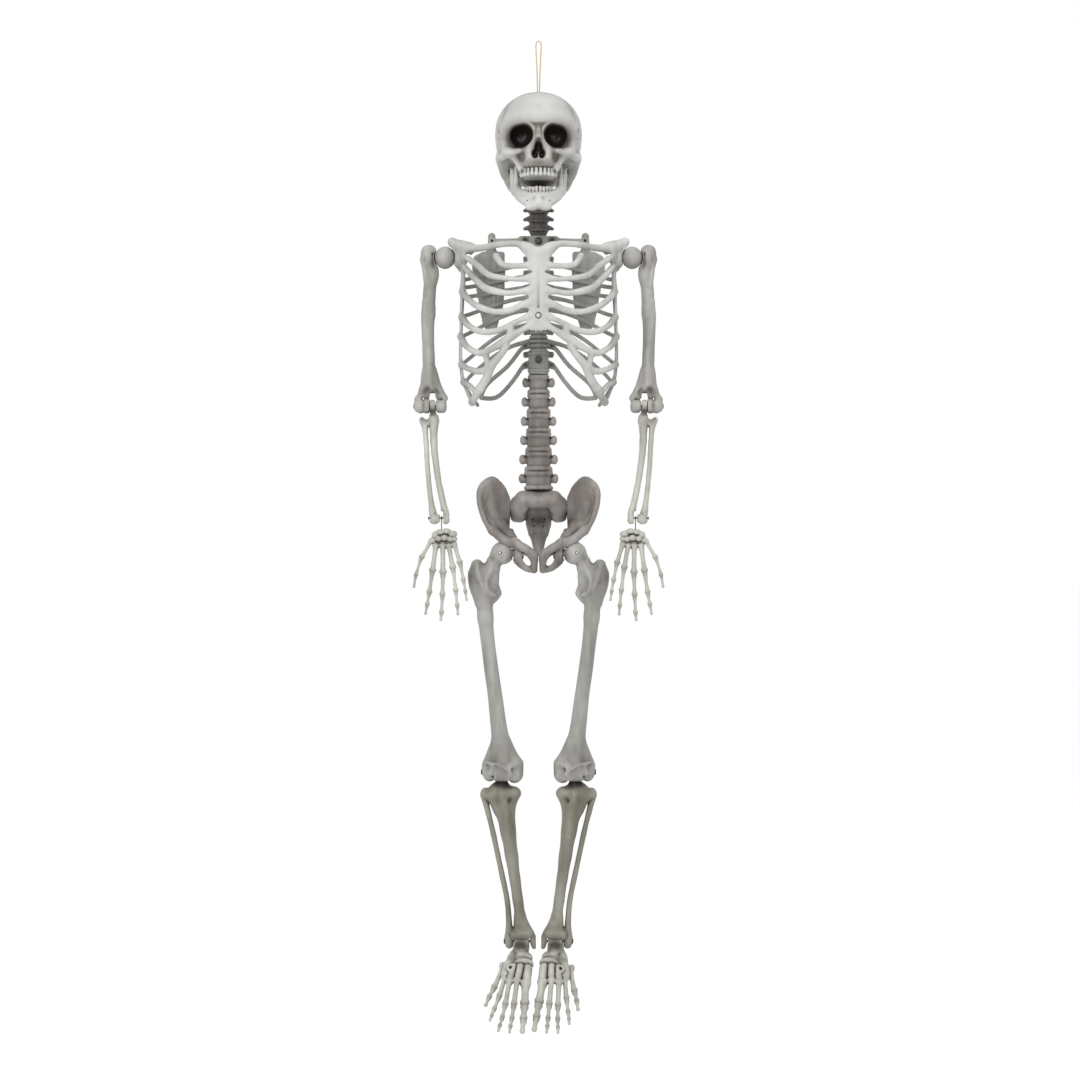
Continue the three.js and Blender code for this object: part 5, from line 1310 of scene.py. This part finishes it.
def foot_clay():
    """The left foot, from the heel and the ankle's tongue to the toes."""
    clay = Clay((-30, -168, -58), (56, 52, 16), 0.85)
    clay.rod((-12.4, 0, 0), (10.4, 0, 0), 11.8, k=1, edge=1.5)
    clay.bone([(-1, 0, -4), (-1, -10, -12), (-2, -18, -16)], [11, 11.5, 12], k=4)
    clay.bone([(0, -4, -18), (2, 16, -28), (3, 34, -33)], [12, 12, 12.5], k=5)
    clay.ball((3, 36, -34), (12.5, 12, 15), k=4)
    clay.ball((-7, -20, -18), (14, 9, 11.4), k=1.6, turn=("X", -20))  # talus head
    clay.ball((9, -13, -20), (9, 12, 10), k=3)
    clay.ball((-8, -31, -20), (16, 5.4, 10.5), k=0.8, turn=("X", -20))  # navicular
    for start, end, r in (  # three cuneiforms and the cuboid
        ((-15, -40, -22), (-15, -62, -27), 7.6), ((-3, -40, -18.5), (-1.5, -58, -23), 6),
        ((8, -40, -20), (10, -60, -25), 6), ((17, -32, -25), (19, -50, -29), 8.4),
    ):
        clay.bone([start, end], r, k=0.8, flat=(1, 1, 1.15))
    clay.ball((12, -20, -24), (10, 12, 11), k=4)
    ring = [(12 + 5 * math.cos(a), -46 + 4.8 * math.sin(a), -16 + 1.8 * math.sin(a))
            for a in np.linspace(0, 2 * math.pi, 9)]
    clay.bone(ring, 2.4, k=1.2, step=2)
    clay.bone([(12, -46, -10), (12, -44, -22)], 1.6, k=0.8, dig=True)
    clay.block((-14, -46, -28), (20, -22, -22), edge=3, k=2)
    for joints, r in TOES:
        digit(clay, joints, r)
    for (a, _), (b, _) in zip(TOES, TOES[1:]):
        clay.bone([a[0], b[0]], 4.2, k=1.5)
    clay.ball((28, -26, -33), (5.4, 7.5, 6), k=2)
    clay.rod((-20, 0, 0), (20, 0, 0), PIN_BORE, dig=True)
    clay.dent(0.2, 5, 4.4)
    # Painted shade on the talus top below the shin's fork, beside the talus, in the ring's hole and in
    # the lines between the small bones.
    clay.stain_and_shade((0, -9, 1), (14, 11, 10), 0.85).stain_and_shade((6, -20, -10), (5, 7, 5), 0.6)
    clay.stain_and_shade((12, -26, -12), (7, 5, 8), 0.45).stain_and_shade((12, -46, -14), (2.6, 2.6, 4), 0.8)
    clay.stain_and_shade((-4, -26.5, -12), (13, 1.8, 9), 0.5).stain_and_shade((-4, -36, -14), (14, 1.8, 9), 0.4)
    return clay


def build_feet(paint):
    pitch = np.array(Matrix.Rotation(math.radians(FOOT_POINT), 3, "X"), float)

    def hang(world, sign):
        """Turns the forefoot about the heel, points the toes down and moves the foot to its ankle."""
        share = np.clip((8 - world[:, 1]) / 26, 0, 1)
        angle = np.radians(FOOT_TURN) * share
        x = world[:, 0] * np.cos(angle) - world[:, 1] * np.sin(angle)
        y = world[:, 0] * np.sin(angle) + world[:, 1] * np.cos(angle)
        pointed = np.stack([x, y, world[:, 2]], 1) @ pitch.T
        return pointed + ANKLE * (sign, 1, 1)

    cast_pair(foot_clay(), "foot", paint, "foot", "small_bone", reshape=hang)


# ---------- Wrist eyes, screws and pins ----------
def build_wrist_eyes(metal):
    """A ring on the wrist pin with a shank of twisted wire down to the hand."""
    x, y, z = WRIST
    clay = Clay((x - 3, y - 6, -798), (x + 3, y + 6, z + 6), 0.4)
    turn = np.linspace(0, 2 * math.pi, 13)
    clay.bone([(x, y + 2.8 * math.sin(a), z + 2.8 * math.cos(a)) for a in turn], 0.9, k=0.2, step=1)
    shank = np.linspace(z - 3.4, -794, 16)
    for off in (0.35, -0.35):  # two strands about one line
        strand = [(x + off * math.cos(h), y + off * math.sin(h), h) for h in shank]
        clay.bone(strand, 0.62, k=0.2, step=1)
    cast_pair(clay, "wrist_eye", metal, "forearm", "steel")


# Name, axis, side of the head (outwards on X; 0 is a plain pin), shaft radius, head length.
SHAFT, HEAD, PIN = 1.9, 2.4, 2.4
CENTRE_FIXINGS = [
    ("neck_retaining_screw", "Z", 1, SHAFT, HEAD), ("neck_pin", "X", 1, SHAFT, 2.0),
    ("neck_screw", "Y", -1, SHAFT, HEAD), ("waist_screw", "Y", -1, SHAFT, HEAD),
    ("chest_screw", "Y", -1, SHAFT, HEAD),
]
PAIRED_FIXINGS = [
    ("jaw_screw", "X", 1, SHAFT, HEAD), ("scapula_screw", "Y", 1, SHAFT, HEAD),
    ("sacral_screw", "X", 1, SHAFT, HEAD), ("shoulder_screw", "X", -1, SHAFT, 3),
    ("shoulder_pin", "Y", 0, PIN, 0), ("elbow_screw", "X", 1, SHAFT, HEAD),
    ("wrist_pin", "X", 1, 1.4, 1.6), ("hip_screw", "X", -1, SHAFT, 3), ("hip_pin", "Y", 0, PIN, 0),
    ("knee_screw", "X", 1, SHAFT, HEAD), ("ankle_screw", "X", 1, SHAFT, 2),
]
PALE_FIXINGS = ("chest_screw", "hip_pin", "shoulder_pin")
TURN_STEPS = 24
THREAD = 1.1  # mm from ridge to ridge


def fixing_profile(length, shaft, head, head_length):
    """Pairs of distance along the axis and radius, from the tip to the middle of the head."""
    if not head_length:
        return [(0, shaft * 0.5), (0.5, shaft * 0.94), (1, shaft), (length - 1, shaft),
                (length - 0.5, shaft * 0.94), (length, shaft * 0.5)]
    rings = [(0, shaft * 0.35), (1.2, shaft * 0.8)]
    neck = length - head_length
    for i in range(int((min(neck, 16) - 2) / THREAD)):
        rings += [(1.6 + THREAD * i, shaft), (1.6 + THREAD * (i + 0.5), shaft * 0.82)]
    rings += [(neck - 0.05, shaft), (neck, head * 0.96), (neck + head_length * 0.45, head)]
    dome = [(0.82, 0.86), (0.93, 0.66), (0.985, 0.5), (1, 0.3), (1, 0.12)]
    return rings + [(neck + head_length * rise, head * r) for rise, r in dome]


def build_fixing(node, axis, side, shaft, head_length, metal):
    """A turned pin or a cross-headed screw, where its CAD solid is."""
    low, high = box_mm(node)
    along = "XYZ".index(axis)
    across = [i for i in range(3) if i != along]
    head = max(high[i] - low[i] for i in across) / 2
    centre, length = (low + high) / 2, high[along] - low[along]
    profile = fixing_profile(length, shaft, head, head_length)
    tip, outwards = (low[along], 1) if side >= 0 else (high[along], -1)
    mesh = bmesh.new()
    rows = []
    for distance, r in profile:
        row = []
        for step in range(TURN_STEPS):
            a = 2 * math.pi * step / TURN_STEPS
            in_cross = r < head * 0.55 and distance > length - head_length and abs(math.sin(2 * a)) < 0.55
            sunk = 0.45 * head_length if head_length and in_cross else 0
            at = np.array(centre)
            at[along] = tip + (distance - sunk) * outwards
            at[across[0]] += r * math.cos(a)
            at[across[1]] += r * math.sin(a)
            row.append(mesh.verts.new(at * MM))
        rows.append(row)
    for a, b in zip(rows, rows[1:]):
        for i in range(TURN_STEPS):
            mesh.faces.new((a[i], a[i - 1], b[i - 1], b[i]))
    mesh.faces.new(rows[0])
    mesh.faces.new(rows[-1][::-1])
    bmesh.ops.recalc_face_normals(mesh, faces=mesh.faces)
    data = bpy.data.meshes.new(node)
    mesh.to_mesh(data)
    mesh.free()
    data.materials.append(metal)
    data.shade_smooth()
    data.set_sharp_from_angle(angle=math.radians(38))
    piece = bpy.data.objects.new(node, data)
    bpy.context.scene.collection.objects.link(piece)
    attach(piece, frame["nodes"][node]["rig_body"])
    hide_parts(node)


def build_fixings(metal, plated):
    for node, *facts in CENTRE_FIXINGS:
        build_fixing(node, *facts, plated if node in PALE_FIXINGS else metal)
    for name, axis, side, *facts in PAIRED_FIXINGS:
        for which, sign in SIDES.items():
            build_fixing(f"{name}_{which}", axis, side * sign if axis == "X" else side, *facts,
                         plated if name in PALE_FIXINGS else metal)


# ---------- Cord ----------
CORD_R = 1.0
# One side of the loop from the knot up, as in the part.
LOOP_SIDE = [(1.4, 0, KNOT_Z + 4.8), (1.4, 0, CROWN_Z), (1.7, 0, -72), (2.2, 0, -55), (3, 0, -34),
             (4, 0, -12), (4, 0, -4), (2.9, 0, -0.6)]


def build_knot(string):
    """An overhand knot, drawn tight inside the crown."""
    clay = Clay((-7, -7, KNOT_Z - 7), (7, 7, KNOT_Z + 7), 0.4)
    turn = np.linspace(0, 2 * math.pi, 25)
    clay.bone([(1.15 * (math.sin(t) + 2 * math.sin(2 * t)), 1.15 * (math.cos(t) - 2 * math.cos(2 * t)),
                KNOT_Z - 2.4 * math.sin(3 * t)) for t in turn], 1.15, k=0.3, step=1)
    for side in (1, -1):
        clay.bone([(1.2 * side, 0, KNOT_Z + 1), (1.4 * side, 0, KNOT_Z + 4.2)], 0.95, k=0.4)
    return cast(clay, "loop_knot", string, "skull", "twine")


def build_loop(string, knot):
    points = LOOP_SIDE + [(0, 0, 1)] + [(-x, y, z) for x, y, z in reversed(LOOP_SIDE)]
    curve = bpy.data.curves.new("hanging_loop", "CURVE")
    curve.dimensions = "3D"
    curve.bevel_depth = CORD_R * MM
    curve.bevel_resolution = 3
    curve.resolution_u = 6
    curve.use_fill_caps = True
    spline = curve.splines.new("BEZIER")
    spline.bezier_points.add(len(points) - 1)
    for handle, point in zip(spline.bezier_points, points):
        handle.co = Vector(point) * MM
        handle.handle_left_type = handle.handle_right_type = "AUTO"
    curve.materials.append(string)
    loop = bpy.data.objects.new("hanging_loop", curve)
    bpy.context.scene.collection.objects.link(loop)
    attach(loop, "skull")
    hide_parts("hanging_loop")


# ---------- Studio ----------
WHITE = 1.0
FLOOR_DROP = 0.3  # metres from the toes down to the floor, since the figure hangs
FLOOR_DIFFUSE = 0.35


def build_studio():
    scene = bpy.context.scene
    scene.view_settings.view_transform = "Standard"
    world = bpy.data.worlds.new("studio")
    world.use_nodes = True
    scene.world = world
    background = world.node_tree.nodes["Background"]
    background.inputs["Color"].default_value = (1, 1, 1, 1)
    background.inputs["Strength"].default_value = WHITE
    for name, at, aim, power, size in (
        ("key", (-0.7, -2.7, 0.3), (0, 0, -0.7), 52, 1.3),
        ("top", (0.5, -0.6, 1.7), (0, 0, -0.6), 16, 1.2),
    ):
        data = bpy.data.lights.new(name, "AREA")
        data.energy, data.size = power, size
        lamp = bpy.data.objects.new(name, data)
        lamp.location = at
        lamp.rotation_euler = (Vector(aim) - Vector(at)).to_track_quat("-Z", "Y").to_euler()
        scene.collection.objects.link(lamp)
    paper = Paint("paper")
    grain = paper.noise(40)
    paper.link(paper.mix(grain, (FLOOR_DIFFUSE * 0.98,) * 3 + (1,), (FLOOR_DIFFUSE * 1.02,) * 3 + (1,)),
               paper.shader.inputs["Base Color"])
    paper.shader.inputs["Roughness"].default_value = 1.0
    paper.shader.inputs["Specular IOR Level"].default_value = 0.0
    paper.shader.inputs["Emission Color"].default_value = (1, 1, 1, 1)
    paper.shader.inputs["Emission Strength"].default_value = WHITE * (1 - FLOOR_DIFFUSE)
    mesh = bpy.data.meshes.new("floor")
    z = CAD_LOW[2] - FLOOR_DROP
    mesh.from_pydata([(-60, -60, z), (60, -60, z), (60, 60, z), (-60, 60, z)], [], [(0, 1, 2, 3)])
    mesh.materials.append(paper.material)
    floor = bpy.data.objects.new("floor", mesh)
    scene.collection.objects.link(floor)
    floor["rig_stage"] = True


# ---------- Assembly ----------
make_camera()
string = twine("twine")
build_loop(string, build_knot(string))

# Body colour, dry-brushed highlights and the dark in the hollows, which is antiquing paint and painted
# shade, then how much of it there is.
pale = aged_plastic("pale_bone", (204, 205, 201), (222, 223, 220), (112, 98, 86), 0.5, streaks=0.1)
ribbed = aged_plastic("rib_bone", (176, 178, 171), (212, 213, 209), (98, 96, 84), 0.55, 0.2,
                      pale_middle=0.018)  # metres from the middle to the edge of the painted highlight over the breastbone
# Painted shade: the rear cage and the shoulder blades take the front shell's plastic painted darker, for
# the shadow they sit in behind the front cage.
shaded_rear = aged_plastic("shaded_rear_bone", (150, 151, 144), (176, 177, 170), (76, 74, 62), 0.6)
spine = aged_plastic("spine_bone", (132, 126, 120), (170, 164, 159), (58, 48, 42), 0.65)
grey = aged_plastic("grey_bone", (158, 156, 150), (188, 186, 181), (80, 71, 64), 0.62)
olive = aged_plastic("olive_bone", (132, 128, 114), (164, 162, 149), (68, 59, 46), 0.62)
small = aged_plastic("small_bone", (184, 183, 172), (210, 209, 200), (84, 76, 60), 0.65)
metal = steel("steel", (84, 80, 74), (34, 30, 26))
plated = steel("plated_steel", (176, 176, 172), (120, 118, 112))

build_skull(pale)
build_mandible(pale)
build_neck(spine)
build_front_cage(ribbed)
build_rear_cage(shaded_rear)
build_scapulae(shaded_rear)
build_lumbar(spine)
build_sacrum(spine)
build_hip_bones(spine)
build_shoulder_balls(grey)
build_humeri(grey)
build_forearms(small)
build_wrist_eyes(metal)
build_hands(small)
build_hip_links(grey)
build_femora(grey)
build_shins(olive)
build_feet(small)
build_fixings(metal, plated)
build_studio()
